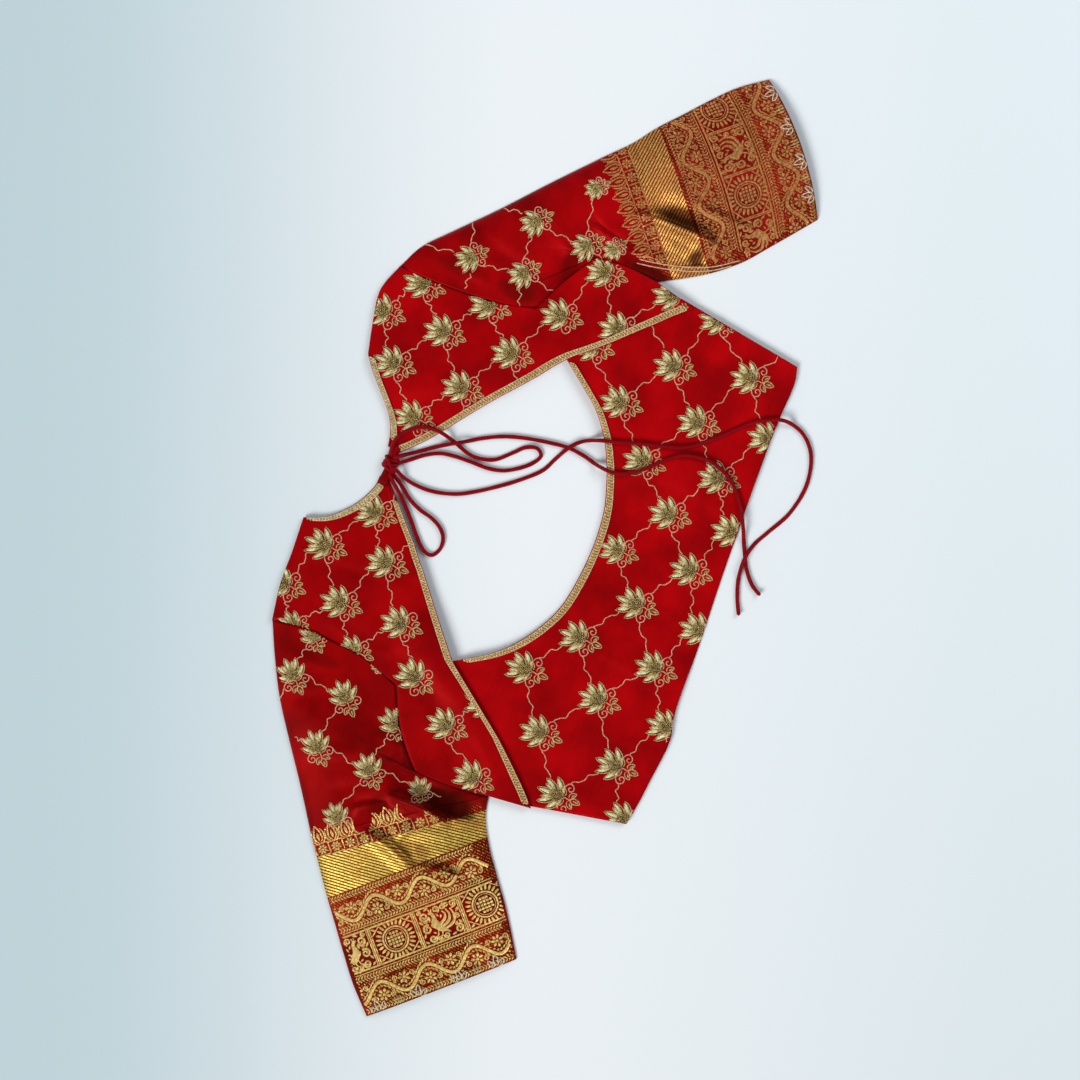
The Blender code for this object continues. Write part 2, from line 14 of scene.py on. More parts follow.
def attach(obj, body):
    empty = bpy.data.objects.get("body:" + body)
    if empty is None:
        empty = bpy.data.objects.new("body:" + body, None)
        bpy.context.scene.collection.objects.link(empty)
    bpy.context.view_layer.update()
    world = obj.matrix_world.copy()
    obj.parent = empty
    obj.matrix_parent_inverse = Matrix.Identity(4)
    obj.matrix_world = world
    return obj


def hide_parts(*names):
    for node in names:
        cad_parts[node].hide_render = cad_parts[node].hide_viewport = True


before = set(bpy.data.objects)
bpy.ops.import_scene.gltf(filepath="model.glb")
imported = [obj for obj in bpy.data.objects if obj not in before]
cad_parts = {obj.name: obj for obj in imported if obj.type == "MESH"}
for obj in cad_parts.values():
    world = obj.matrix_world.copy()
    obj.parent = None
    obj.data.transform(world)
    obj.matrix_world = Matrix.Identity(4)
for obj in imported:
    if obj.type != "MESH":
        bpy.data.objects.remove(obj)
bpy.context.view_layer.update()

MM = 0.001

# The view: straight down, with the garment turned as in the photograph
VIEW_CENTRE = (-2.57, -19.76)
VIEW_SIDE = 928.8          # side of the square frame on the surface
VIEW_RIGHT = Vector((0.3746, -0.9272, 0.0))
VIEW_UP = Vector((0.9272, 0.3746, 0.0))
CAMERA_HEIGHT = 3200.0
SENSOR = 36.0
FLOOR_REACH = 3000.0       # half the side of the floor

# Cloth, as in the part's source
CLOTH = 1.5                # a cloth's solid
SHELL = 0.9                # the thin wall of it that shows
FRONT_CLOTH = 3.0          # a front's two layers
FRONT_FOLD = 1.05          # radius of the fold where a front is turned back
SEAM_GAP = 0.2             # in plan, between cloths that are sewn together
LAYER_GAP = 0.4            # in height, between cloths that lie on each other
EDGE_TURN, EDGE_REACH = 0.45, 1.1      # how far a panel's edges turn down, and over what width
STRAP_LIFT = 2.4           # how far a strap is raised where it laps over the lower back
LAP = 14.0                 # the width of that lap
LIFT_EASES = (6.0, 45.0)   # how far past the lap the lift begins and ends to ease off
LAP_STARTS = (5.5, 7.5)    # the stations over which the lap comes in
NAPE_GATHERS = (0.35, 25.0, 0.3, 2.2)  # height, waves, and the stations over which they die away

# The back swells in its middle, and sags to the floor between the fronts, off the opening
BODY_MIDDLE = 8.0
BODY_HALF_WIDTH = 232.0
BODY_HALF_HEIGHT = 195.0
BACK_RISE = 3.0
FLOOR_SAG = 2.8
SAG_HALF_WIDTH = 45.0      # it sags in full as far out as this
FRONTS_APART = 86.0        # and not at all from here outwards
SAG_BELOW = (-50.0, -20.0)
SAG_ABOVE = (60.0, 90.0)

# Sleeves
SLEEVE_FOLD_HEIGHT = 3.2   # of the tube's round folds
TUBE_FOLD = 0.02           # the share of the tube's width that each of them takes
ARCH_FLATNESS, ARCH_ROUNDNESS = 2.5, 0.6
LEAST_CROWN = 1.6          # the least that a sleeve rises in its middle
ARMHOLE_EASE = 1.6         # the rows over which the armhole's curve becomes straight
HEM_TURN, HEM_REACH = 0.35, 1.2        # how far a border's hem turns down, and over what rows

# Creases and pleats
CREASE_HOLLOW = (1.6, 1.3, 0.55)       # beside a crease: off, width and depth, in shares of it
PLEAT_DROP = 2.2                       # the width of a pleat's steep side

# Braid
TRIM_WIDTH = 6.0
TRIM_INSET = 0.8           # from the cloth's edge to the braid's
TRIM_GAP = 0.3             # between the cloth and the braid

# Cords
CORD_DIAMETER = 3.6
CORD_STEP = 2.0            # between the rings of a cord's mesh
CORD_FILL = 0.48           # its mean radius in diameters, a little under a half
CORD_REACH = 3.2           # how far round its line the cord feels the cloth
CORD_OVER_CLOTH = 0.6
CORD_CLEAR = 0.35
CORD_STIFF = 6             # millimetres that it stays up on both sides of a rise
CORD_EASE = 9              # millimetres over which its height is evened out
END_FALL = 22.0            # the length over which an end comes down from the knot
KNOT_CENTRE = (9.0, 124.0, 4.6)


def rows_of(kind, *rows):
    """Rows of numbers, each as a named tuple of one kind."""
    return [kind(*row) for row in rows]


Station = namedtuple("Station", "ax ay bx by corner", defaults=(0,))
STRAP_LEFT = rows_of(Station,
    (-4, 119, -3, 128), (-19, 104.5, -14, 129.5), (-33, 91.5, -31, 137.5), (-46, 79, -46, 150),
    (-57, 70, -55, 162), (-66, 62, -60.5, 176, 1), (-86, 45.5, -91, 174), (-107, 28, -121, 173),
    (-127, 11, -152, 168, 1), (-140, -6, -148.5, 136), (-153, -23, -150, 112),
    (-164, -37.5, -153, 84), (-175, -52, -164, 48, 1), (-187, -66, -197, 31),
    (-199, -79.5, -227, 6, 1), (-209, -90, -227, -28), (-219, -99, -223, -61))
STRAP_RIGHT = rows_of(Station,
    (21.2, 121, 23, 131), (31, 111, 36, 134.5), (42, 101, 49, 141.5), (55, 91, 62, 153),
    (68, 81.5, 77, 167), (80, 72.5, 90, 177, 1), (96, 60, 117, 183.5), (112, 46.5, 145, 188),
    (128, 33.5, 170, 180, 1), (141, 24, 169, 146), (153, 13.5, 170, 117), (166, -1, 173.5, 86),
    (180, -16, 180, 58, 1), (194, -30, 211, 44), (207, -43.5, 241, 26, 1), (219, -55, 243, -2),
    (231, -68, 240.5, -30))
NECK_POINT, SHOULDER_POINT, ARMHOLE_TURN, STRAP_END = 5, 8, 12, 16
BACK_LOWER = rows_of(Station,
    (-201, -180, -221, -81), (-180, -183, -199, -57), (-158, -185, -174, -28),
    (-140, -187, -151, 3), (-128, -188, -133, 21, 1), (-117, -187.5, -119.5, -1),
    (-106, -184.5, -107.5, -18.5), (-92, -182.5, -92, -34), (-72, -181.5, -73, -47),
    (-47, -181, -50, -57.5), (-18, -179.5, -21, -62.5), (13, -177.5, 10, -64),
    (41, -176, 39, -61.5), (66, -175, 62, -55), (86, -174, 82, -47), (104, -173, 101, -36.5),
    (120, -172.5, 118, -23), (135, -172, 130.5, -8), (150, -171.5, 141.5, 6.5),
    (165, -171.5, 155, 24, 1), (180, -171.8, 175, 8), (193, -172.4, 197, -13),
    (206, -172, 216, -34), (218, -169, 235, -55))
# The stations between which each edge has braid
LOWER_TRIM_FROM, LOWER_TRIM_TO = 4.75, 18.5
STRAP_TRIM_FROM, STRAP_TRIM_TO = {"left": 1.0, "right": 0.2}, STRAP_END - 0.3
NECK_TRIM_FROM, NECK_TRIM_TO = 0.6, NECK_POINT - 0.1
FRONT_LEFT = rows_of(Station,
    (-82, 171, -149, 165.5), (-83, 125, -146.5, 132), (-87, 74, -151, 84), (-110, 42, -162, 46, 1),
    (-136, 14, -223, 4, 1), (-134, -12, -223, -30), (-118, -38, -219, -63), (-98, -64, -216, -95),
    (-88, -100, -212, -120), (-86, -140, -205, -150), (-86, -178.5, -199, -177))
FRONT_RIGHT = rows_of(Station,
    (98, 175, 166, 176.5), (100, 130, 166, 140), (107, 82, 170, 90), (124, 50, 178, 55, 1),
    (150, 29, 237, 23, 1), (162, 8, 239, -5), (152, -12, 236.5, -32), (126, -45, 230, -70),
    (106, -82, 226, -98), (100, -125, 221, -132), (100, -169.5, 215.5, -165.5))
SleeveRow = namedtuple("SleeveRow", "outer_x outer_y strap_station crown")
SLEEVE_LEFT = rows_of(SleeveRow,
    (-152, 168, 12, 7.5), (-182, 153.5, 13, 9.5), (-212, 137, 14, 11.5), (-241, 117, 15, 12.5),
    (-275, 92.5, 15.5, 13.0), (-311, 68, 16, 13.5))
SLEEVE_RIGHT = rows_of(SleeveRow,
    (170, 180, 12, 7.5), (193, 169, 13, 9.5), (217, 147.5, 14, 11.5), (249, 118, 15, 12.5),
    (285, 87, 15.5, 13.0), (323, 53, 16, 13.5))
BorderRow = namedtuple("BorderRow", "outer_x outer_y inner_x inner_y bow crown")
BORDER_LEFT = rows_of(BorderRow,
    (-332, 52.5, -243, -66.5, 0, 13.5), (-353, 37, -263, -78, 0, 13.0),
    (-374, 20.5, -284, -93.5, 0, 12.5), (-395, 4, -304, -109, 0, 12.0),
    (-417, -14, -325, -123.5, 0, 11.0), (-438, -35, -344, -136, 0, 9.5))
BORDER_RIGHT = rows_of(BorderRow,
    (343, 34.5, 252, -50, 0, 13.5), (363, 20, 266, -71.5, 1, 13.0), (382, 3.5, 284, -92, 3, 12.5),
    (402, -13.5, 303, -107.5, 4, 12.0), (421, -31.5, 322, -122.5, 6, 11.0),
    (438, -54, 342, -138, 7, 9.5))

# Folds as in the part's source: a line on the cloth, its half width and its height
Fold = namedtuple("Fold", "x0 y0 x1 y1 width height")
BODICE_FOLDS = rows_of(Fold,
    (-97, -170, -90, -95, 15, -1.6), (-140, -150, -160, -70, 17, 1.4),
    (-35, -160, -30, -85, 20, 1.2), (40, -160, 52, -80, 18, -1.1), (150, -150, 168, -50, 20, 1.4),
    (-112, 150, -132, 60, 15, 1.3), (-205, -20, -158, 30, 12, -1.3), (118, 165, 142, 75, 15, 1.3),
    (180, 30, 225, -10, 12, -1.2))
SLEEVE_FOLDS = rows_of(Fold,
    (-286, 26, -240, 4, 9, -2.2), (-241, -8, -236, -46, 10, -4.0), (-230, 110, -190, 70, 16, 1.5),
    (-400, -25, -330, -95, 18, 1.0), (318, -20, 304, -80, 11, 1.6), (247, -2, 252, -40, 5, -5.0),
    (200, 60, 246, 22, 10, -2.6), (360, -10, 390, -70, 18, 1.0))
# Finer creases, each with its own width, height and wander from a straight line
Crease = namedtuple("Crease", "x0 y0 x1 y1 width height wander")
BODICE_CREASES = rows_of(Crease,
    (-128, -182, -118, -118, 5, -0.7, 3), (-86, -176, -74, -104, 4, 0.6, 2),
    (-52, -178, -60, -128, 5, -0.6, 3), (-8, -172, 4, -96, 6, 0.7, 4),
    (34, -174, 22, -120, 4, -0.6, 2), (76, -168, 88, -92, 6, 0.7, 3),
    (112, -164, 120, -84, 5, -0.7, 3), (176, -160, 192, -96, 5, 0.7, 2),
    (-196, -160, -184, -96, 5, 0.6, 3), (128, -52, 196, -88, 5, 0.6, 3),
    (-176, -60, -118, -84, 5, -0.5, 3), (-96, 158, -84, 92, 5, -0.7, 2),
    (-136, 138, -140, 70, 4, 0.8, 3), (-152, 64, -118, 34, 5, -0.7, 2),
    (-168, 22, -214, -12, 5, 0.8, 2), (-186, -28, -216, -62, 5, -0.7, 2),
    (-60, 132, -88, 66, 6, 0.6, 3), (96, 168, 108, 96, 5, -0.7, 3), (150, 168, 152, 96, 5, 0.8, 3),
    (158, 74, 130, 46, 5, -0.7, 2), (172, 50, 224, 30, 4, 0.9, 2), (190, 8, 232, -28, 5, -0.8, 2),
    (70, 140, 96, 74, 6, 0.6, 3), (-30, 122, -58, 96, 4, 0.5, 1), (44, 118, 70, 100, 4, 0.5, 1))
SLEEVE_CREASES = rows_of(Crease,
    (-282, 8, -262, -58, 5, 2.0, 2), (-228, 24, -200, 8, 5, 3.0, 2),
    (-236, -30, -224, -54, 4, 2.4, 1), (256, 6, 262, -56, 4, 2.4, 1.5),
    (292, -54, 263, -46, 4, 2.2, 1), (246, 22, 232, 52, 5, 2.6, 2),
    (-172, 146, -168, 84, 5, 0.8, 3), (-206, 128, -186, 50, 6, -0.9, 4),
    (-252, 98, -214, 30, 6, 0.9, 3), (-268, 62, -232, 22, 5, -0.9, 2),
    (-250, -2, -200, 30, 5, 1.6, 2), (-306, 44, -262, 30, 5, 0.9, 3),
    (-296, 2, -262, -12, 4, 1.6, 1), (-342, 18, -318, -48, 6, -0.9, 3),
    (-376, -6, -352, -62, 6, 0.8, 3), (-300, -66, -286, -96, 5, -1.0, 2),
    (-392, -44, -352, -78, 5, -0.7, 3), (-420, -36, -402, -60, 5, 0.7, 2),
    (-224, 14, -214, 70, 5, -0.7, 3), (186, 150, 190, 92, 5, 0.9, 3),
    (224, 132, 208, 66, 6, -0.9, 4), (262, 92, 226, 34, 6, 0.9, 3), (288, 66, 250, 22, 5, -0.9, 2),
    (206, 52, 252, 12, 5, 1.7, 2), (312, 34, 272, 4, 5, 0.8, 3), (274, 2, 262, -48, 4, -1.4, 1),
    (346, 2, 316, -84, 6, -0.8, 4), (372, -22, 350, -96, 6, 0.8, 3),
    (404, -30, 388, -72, 5, -0.8, 2), (330, -88, 352, -122, 5, 0.7, 2))

# Pleats: each rises slowly on the right of its run, drops on its left and leaves a hollow there
Pleat = namedtuple("Pleat", "x0 y0 x1 y1 width height hollow depth")
SLEEVE_PLEATS = rows_of(Pleat,
    (-289, 24, -303, -22, 7, 6.5, 13, 5.0), (-301, -26, -293, -64, 7, 5.0, 10, 3.2),
    (-252, 14, -256, -34, 6, 9.0, 24, 11.0), (-256, -28, -244, -58, 6, 5.0, 12, 4.0),
    (-276, 44, -262, 22, 7, 3.4, 7, 2.0), (289, 4, 290, -64, 8, 9.0, 18, 8.0),
    (257, -40, 268, -66, 5, 4.6, 10, 3.2), (318, -34, 312, -84, 8, 3.0, 8, 1.8),
    (206, 62, 232, 30, 7, 3.2, 7, 2.0), (268, 40, 256, 8, 6, 2.6, 6, 1.6),
    (-176, 30, -214, -4, 6, 2.2, 8, 2.0))

# Painted shade in the deeps of the tucks, where little light gets:
# an ellipse in plan and how dark the painted shade is
ShadeSpot = namedtuple("ShadeSpot", "x y half_x half_y depth")
SHADE_SPOT_EDGE, PAINTED_SHADE_COLOUR = (0.5, 1.15), (0.05, 0.003, 0.0015)
PAINTED_SHADE_LEFT = rows_of(ShadeSpot,
    (-242, -30, 15, 31, 0.95), (-289, -19, 8, 18, 0.6), (-206, 30, 8, 24, 0.5),
    (-168, 120, 7, 24, 0.35), (-294, -50, 7, 16, 0.5), (-266, 24, 12, 9, 0.35))
PAINTED_SHADE_RIGHT = rows_of(ShadeSpot,
    (299, -32, 12, 28, 0.85), (246, -20, 6, 24, 0.85), (271, -54, 8, 7, 0.75),
    (188, 78, 10, 20, 0.55), (190, 130, 9, 24, 0.4), (226, 44, 16, 8, 0.4))

# The ties' routes in plan, as in the part's source, from the knot outwards
TIE_LONG = [
    (7.6, 122.5), (6.5, 116.4), (3, 108), (1, 94), (2, 79), (7, 62), (15, 47.5), (25, 33),
    (38, 16.5), (53, 1), (67, -6), (80, -13), (90, -22.5), (96, -36), (100, -50), (105.5, -66),
    (110, -82), (114.5, -98), (121.5, -111.5), (132, -124), (145, -137), (157, -149),
    (166.5, -163), (171, -179), (166, -196), (151, -209), (126, -214.5), (99, -210), (77, -199),
    (62, -191.5), (47, -188.5), (30, -190.5), (15, -195.5), (1, -202.5),
]
TIE_SHORT = [
    (14.6, 123.4), (20.2, 117.4), (27, 108), (34.5, 98), (41.5, 88), (50, 74), (59.5, 59.5),
    (68, 43), (73.5, 26), (77.5, 7), (80, -12), (78.5, -28), (75, -43), (74.5, -57), (79.5, -70),
    (90, -83), (101, -93.5), (109.5, -104), (114, -118), (114, -133), (108, -149), (96, -162.5),
    (78, -174.5), (58, -184.5), (41, -193.5), (30, -203), (24, -213),
]
BOW_LEFT = [
    (4.5, 123), (-1, 118.8), (-7.5, 111), (-15, 102.5), (-23, 94.5), (-31, 87), (-40.5, 78.5),
    (-48.5, 69.5), (-49.5, 61.5), (-42, 57), (-32.5, 58), (-25, 64), (-20, 74), (-17, 86),
    (-12, 97), (-4.5, 107), (2.2, 117.4), (6.5, 122),
]
BOW_RIGHT = [
    (14.5, 125.5), (21.5, 127), (30, 127.5), (40, 122.5), (48, 113), (51.5, 102), (50.5, 90),
    (47, 77), (43.3, 66), (42.8, 55), (47, 42), (57, 31), (66.5, 21.5), (69.5, 12), (64.5, 6.5),
    (56, 11), (47.5, 20.5), (40.8, 32), (37.8, 45), (37.4, 60), (36.8, 74), (34.5, 87),
    (28.5, 98.5), (20.5, 108.5), (14, 116.4), (11, 122),
]

# Embroidered lotuses on each cloth: x, y, turn in degrees, scale
FLOWERS = {
    "back_lower": [
        (-156, -77, 0, 1), (-68, -78, 0, 1), (14, -81, 0, 0.92), (93, -72, 2, 1), (178, -66, 3, 1),
        (-200, -111, 0, 1), (-111, -113, 0, 1), (-23, -112.5, 0, 1), (59, -109.5, 2, 1),
        (141, -103, 3, 1), (229, -87, 6, 0.95), (-158, -148, 0, 1), (-68, -148, 0, 1),
        (21, -144.5, 1, 1), (103, -137, 3, 1), (193, -131, 4, 1), (-198, -172, 0, 1),
        (-111, -176, 0, 1), (-23.5, -171, 0, 1), (65, -165, 2, 1), (151, -164, 3, 1),
        (-110, -45, 0, 1), (132, -35, 3, 1), (168, 6, 4, 1),
    ],
    "back_strap_left": [
        (-76, 154.5, 0, 1), (-117, 123.5, 0, 1), (-34, 125, 0, 1), (-70.5, 100, 0, 1),
        (-114, 69, 0, 1), (-150.5, 40.5, -18, 1), (-180, 0, -4, 1), (-213, -38, -6, 1),
        (-120, 175, 0, 1), (-150, -24, 0, 1), (-151, 97, 0, 0.9), (-149.5, 153, 0, 0.8),
    ],
    "back_strap_right": [
        (91, 158, 0, 1), (132, 128.5, 0, 1), (54, 125, 0, 1), (93, 96, 0, 1), (136, 67.5, 2, 1),
        (182, 40.5, 4, 1), (231, 19, 2, 1), (190, -10, 4, 1), (129, 183, 0, 1), (164, 160, 0, 1),
        (168, 101, 0, 1), (234, -42, 6, 1),
    ],
    "sleeve_left": [
        (-187, 136.5, -40, 1), (-187.5, 88, -42, 1), (-236, 94, -42, 1), (-237.5, 45, -42, 1),
        (-193, 39.5, -38, 1), (-286, 55, -42, 0.9), (-238, -3, -52, 0.8),
        (-150, 132, -40, 0.85), (-154, 70, -30, 0.45),
    ],
    "sleeve_right": [
        (197, 128.5, 48, 1), (201, 81, 52, 1), (246, 88, 50, 1), (243, 40, 48, 1),
        (293, 50, 48, 0.75), (250, 16, 55, 0.75),
    ],
}
FLOWER_SIZE = {"back_lower": 0.94, "back_strap_left": 0.94, "back_strap_right": 0.94,
               "sleeve_left": 0.84, "sleeve_right": 0.78}
LATTICE = {"back_lower": (44, -36), "back_strap_left": (41, -28), "back_strap_right": (41, -28),
           "sleeve_left": (41, -28), "sleeve_right": (41, -28)}
# Ends of the vines that come from flowers under a seam or round the edge
STRAY_VINES = {
    "back_lower": [((207, -35), (190, -57))], "back_strap_left": [], "back_strap_right": [],
    "sleeve_left": [((-238.5, 112), (-238, 104))],
    "sleeve_right": [((195, 168), (199, 141)), ((250, 117), (252, 99)), ((173, 121), (187, 121)),
                     ((177, 72), (191, 77))],
}
NO_VINES_BELOW = 0.6  # the size of the part flowers that send out no vines
VINE_REACH = 17.0     # a vine goes to the next flower if it is this near where one is expected
BORDER_STARTS = 240.0 # how far out no vine leaves the cloth

# A lotus, point up, about its middle: each petal runs from a foot to a tip, bowed sideways
Petal = namedtuple("Petal", "x0 y0 x1 y1 bow width")
BRIGHT_PETALS = rows_of(Petal,
    (-1.5, -8.4, -15.4, 0.9, 1.3, 6.0), (1.5, -8.4, 15.8, 0.9, -1.3, 6.0),
    (0, -4, -0.2, 15.0, 0, 5.8))
DARK_PETALS = rows_of(Petal,
    (-2, -4, -11.7, 10.9, 0.9, 5.4), (2, -4, 10.9, 10.2, -0.9, 5.4),
    (-1.2, -4, -6.1, 9.4, 0.4, 3.6), (1.2, -4, 5.9, 9.0, -0.4, 3.6),
    (-1, -11.2, -9.4, -6.4, 0.9, 3.6), (1, -11.2, 9.4, -6.4, -0.9, 3.6))
BUD = rows_of(Petal,
    (0, -17, -0.2, -27.2, 0, 5.2), (-0.6, -16.4, -7.3, -21.3, -0.9, 4.6),
    (0.6, -16.4, 7.2, -21.1, 0.9, 4.6))
PETAL_LANES = 5                                        # points across a petal
FILL_FROM, FILL_TO, FILL_WIDTH = 0.17, 0.90, 0.60      # the stitched fill inside each outline
HEART = [(0, -6.4), (-3.6, -5), (3.6, -5), (0, -2.4)]     # a dark underlay under the rings, painted shade in the holes between them
RINGS = [
    (0, -1.2), (-2.9, -2.3), (2.9, -2.4), (-1.5, -4.5), (1.6, -4.6), (-4.5, -5), (4.5, -5.2),
    (0, -7.2), (-3, -7.6), (3, -7.8), (-6.2, -3), (6.2, -3.2), (0, -10), (-1.5, 1.5), (1.6, 1.3),
]
STEM_RADIUS, ROPE_RADIUS = 0.54, 0.52
OUTLINE_RADIUS, BUD_OUTLINE_RADIUS = 0.42, 0.5
CURL = [(0, -11.2), (-2.7, -9.1), (-7.7, -8.4), (-12, -9.9), (-14.1, -12.8), (-12.6, -16.2),
        (-9.2, -17.2), (-7.1, -15.1), (-8, -12.8), (-10.2, -12.7), (-10.6, -14.5)]
STEM = [(0, -10.8), (0.4, -13.0), (-0.2, -15.4), (0.1, -18.6)]
VINE_FROM, VINE_TO = (14.1, -12.8), (12.0, 7.0)

# A sleeve border's own axes: along the hem from its outer corner, and up the sleeve from the hem.
# Its gold band lies between two levels, the upper one falling along the hem; its sides lean, and
# are plain for a short way in.
BorderAxes = namedtuple("BorderAxes", "corner along up length bow band_low band_high fall "
                                      "lean_low lean_high plain")
AXES_LEFT = BorderAxes((-438, -35), (0.681, -0.732), (0.732, 0.681), 138, 0, 107, 143.5, 0.09,
                       0.045, 0.145, 1.0)
AXES_RIGHT = BorderAxes((438, -54), (-0.752, -0.658), (-0.658, 0.752), 127.6, 7, 102.5, 134.5, 0,
                        0.08, 0.12, -6)
TEMPLE_RISE = 28.0                     # from the gold band's top to the buds' tips
TEMPLE_PITCH = 12.4
UPPER_FRAME, LOWER_FRAME = 70.5, 38.0  # lines above and below the row of squares
SQUARE_MIDDLE = 54.3
SQUARE_SIDES = (-20.3, -18.9, 18.9, 20.3)
VINE_ROWS = (88.5, 17.0)
VINE_HALF_WAVE, VINE_RISE = 21.4, 7.4
VINE_LEAF_PITCH = 2.9
LEAF_ROWS = [(2.4, 45), (4.8, -45)]    # up from the hem, and the turn of the leaves
Patch = namedtuple("Patch", "x y half_x half_y")
LAPS = rows_of(Patch, (-282, 31, 10, 7), (-257, -3, 8, 11), (-240, -27, 14, 28), (247, -22, 8, 24))
BINDING = [(252.5, -8), (254, -18), (256, -28), (259.5, -42), (264.5, -57), (272, -72), (285, -90)]
Figure = namedtuple("Figure", "kind at")
SQUARES_LEFT = rows_of(Figure, ("bird", 7), ("wheel", 48), ("bird", 89), ("wheel", 130))
SQUARES_RIGHT = rows_of(Figure, ("wheel", 9), ("bird", 48.5), ("wheel", 88), ("bird", 127))
SPRIGS_LEFT, SPRIGS_RIGHT = (12.5, 50, 87, 121), (12, 44, 76, 105)
SPRIG_HEIGHT = 5.5


def smooth_step(low, high, value):
    """0 below low, 1 above high, and a soft curve between."""
    part = np.clip((value - low) / (high - low), 0, 1)
    return part * part * (3 - 2 * part)


def through(points, corners, stations):
    """A Catmull-Rom curve through points, read at the given stations; it breaks at corners."""
    points = np.asarray(points, float)
    corners = np.asarray(corners, bool)
    last = len(points) - 1
    start = np.clip(np.floor(stations).astype(int), 0, last - 1)
    part = (np.asarray(stations) - start)[..., None]
    a, b = points[start], points[start + 1]
    before_known = (start > 0) & ~corners[start]
    after_known = (start + 2 <= last) & ~corners[start + 1]
    before = np.where(before_known[..., None], points[np.maximum(start - 1, 0)], 2 * a - b)
    after = np.where(after_known[..., None], points[np.minimum(start + 2, last)], 2 * b - a)
    return 0.5 * (2 * a + (b - before) * part + (2 * before - 5 * a + 4 * b - after) * part**2
                  + (3 * a - 3 * b + after - before) * part**3)


def smooth_route(points, count):
    """A smooth curve through points, at count even steps of its parameter."""
    return through(points, [0] * len(points), np.linspace(0, len(points) - 1, count))


def evenly(path, step):
    """A path's points at even distances, about step apart, worked out along its length."""
    run = np.concatenate([[0], np.cumsum(np.linalg.norm(np.diff(path, axis=0), axis=1))])
    stops = np.linspace(0, run[-1], max(int(round(run[-1] / step)), 2) + 1)
    return np.stack([np.interp(stops, run, values) for values in path.T], axis=-1)


def side(rows, which, stations):
    """Points of a panel's A or B side at the stations."""
    points = [(row.ax, row.ay) if which == "A" else (row.bx, row.by) for row in rows]
    return through(points, [row.corner for row in rows], np.asarray(stations, float))


def across(rows, stations, fractions):
    """Points in plan on the straight lines between a panel's sides."""
    a = side(rows, "A", stations)[:, None]
    b = side(rows, "B", stations)[:, None]
    return a + (b - a) * np.asarray(fractions)[..., None]


def folds_at(x, y, folds):
    """The summed height of the folds: each falls off as a bell on both sides of its line."""
    height = np.zeros_like(x)
    for fold in folds:
        run = np.array([fold.x1 - fold.x0, fold.y1 - fold.y0])
        along = np.clip(((x - fold.x0) * run[0] + (y - fold.y0) * run[1]) / (run @ run), 0, 1)
        away = np.hypot(x - fold.x0 - along * run[0], y - fold.y0 - along * run[1])
        height += fold.height * np.exp(-((away / fold.width) ** 2))
    return height


def creases_at(x, y, creases):
    """The summed height of the creases.

    Each is a bell across a line that wanders as a sine, with a shallower hollow on one side, and
    dies away to both ends.
    """
    height = np.zeros_like(x)
    aside, spread, depth = CREASE_HOLLOW
    for number, crease in enumerate(creases):
        run = np.array([crease.x1 - crease.x0, crease.y1 - crease.y0])
        length = np.hypot(*run)
        along = ((x - crease.x0) * run[0] + (y - crease.y0) * run[1]) / length**2
        off = ((y - crease.y0) * run[0] - (x - crease.x0) * run[1]) / length
        off = off - crease.wander * np.sin(along * 4.2 + number * 1.7)
        fade = smooth_step(-0.25, 0.3, along) * (1 - smooth_step(0.7, 1.25, along))
        bell = np.exp(-((off / crease.width) ** 2))
        hollow = np.exp(-(((off - aside * crease.width) / (spread * crease.width)) ** 2))
        height += crease.height * fade * (bell - depth * hollow)
    return height


def pleats_at(x, y, pleats):
    """The summed height of the pleats: half a bell, a steep drop, and half a shallower hollow."""
    height = np.zeros_like(x)
    for pleat in pleats:
        run = np.array([pleat.x1 - pleat.x0, pleat.y1 - pleat.y0])
        length = np.hypot(*run)
        along = ((x - pleat.x0) * run[0] + (y - pleat.y0) * run[1]) / length**2
        off = ((y - pleat.y0) * run[0] - (x - pleat.x0) * run[1]) / length
        off = off - 1.4 * np.sin(along * 3.6 + pleat.x0)
        fade = smooth_step(-0.2, 0.2, along) * (1 - smooth_step(0.8, 1.2, along))
        drop = smooth_step(0, PLEAT_DROP, off)
        rise = np.exp(-((np.minimum(off, 0) / pleat.width) ** 2)) * (1 - drop)
        hollow = drop * np.exp(-((np.maximum(off, 0) / pleat.hollow) ** 2))
        height += fade * (pleat.height * rise - pleat.depth * hollow)
    return height


def bodice_height(x, y):
    """Underside of the lower back: on the fronts at its edges, lower in the middle, swelling."""
    swell = np.clip(1 - ((x - BODY_MIDDLE) / BODY_HALF_WIDTH) ** 2, 0, 1)
    swell = swell * np.clip(1 - (y / BODY_HALF_HEIGHT) ** 2, 0, 1)
    gap_side = 1 - smooth_step(SAG_HALF_WIDTH, FRONTS_APART, np.abs(x - BODY_MIDDLE))
    between = gap_side * np.maximum(1 - smooth_step(*SAG_BELOW, y), smooth_step(*SAG_ABOVE, y))
    base = FRONT_CLOTH + LAYER_GAP - FLOOR_SAG * between
    relief = folds_at(x, y, BODICE_FOLDS)
    fine = creases_at(x, y, BODICE_CREASES) * np.sqrt(swell)
    return base + swell * (BACK_RISE + relief) + fine * (1 - 0.6 * between)


def strap_height(rows, stations, fractions, plan):
    """Underside of a strap: clear of the lower back where it laps over it, then easing down."""
    width = np.linalg.norm(side(rows, "B", stations) - side(rows, "A", stations), axis=-1)
    inward = width[:, None] * np.asarray(fractions)
    lapped = smooth_step(*LAP_STARTS, stations)[:, None]
    lift = STRAP_LIFT * lapped * (1 - smooth_step(LAP + LIFT_EASES[0], LAP + LIFT_EASES[1], inward))
    rise, waves, low, high = NAPE_GATHERS
    gathers = rise * np.sin(np.asarray(fractions) * waves)
    gathers = gathers * (1 - smooth_step(low, high, stations))[:, None]
    return bodice_height(plan[..., 0], plan[..., 1]) + lift + gathers


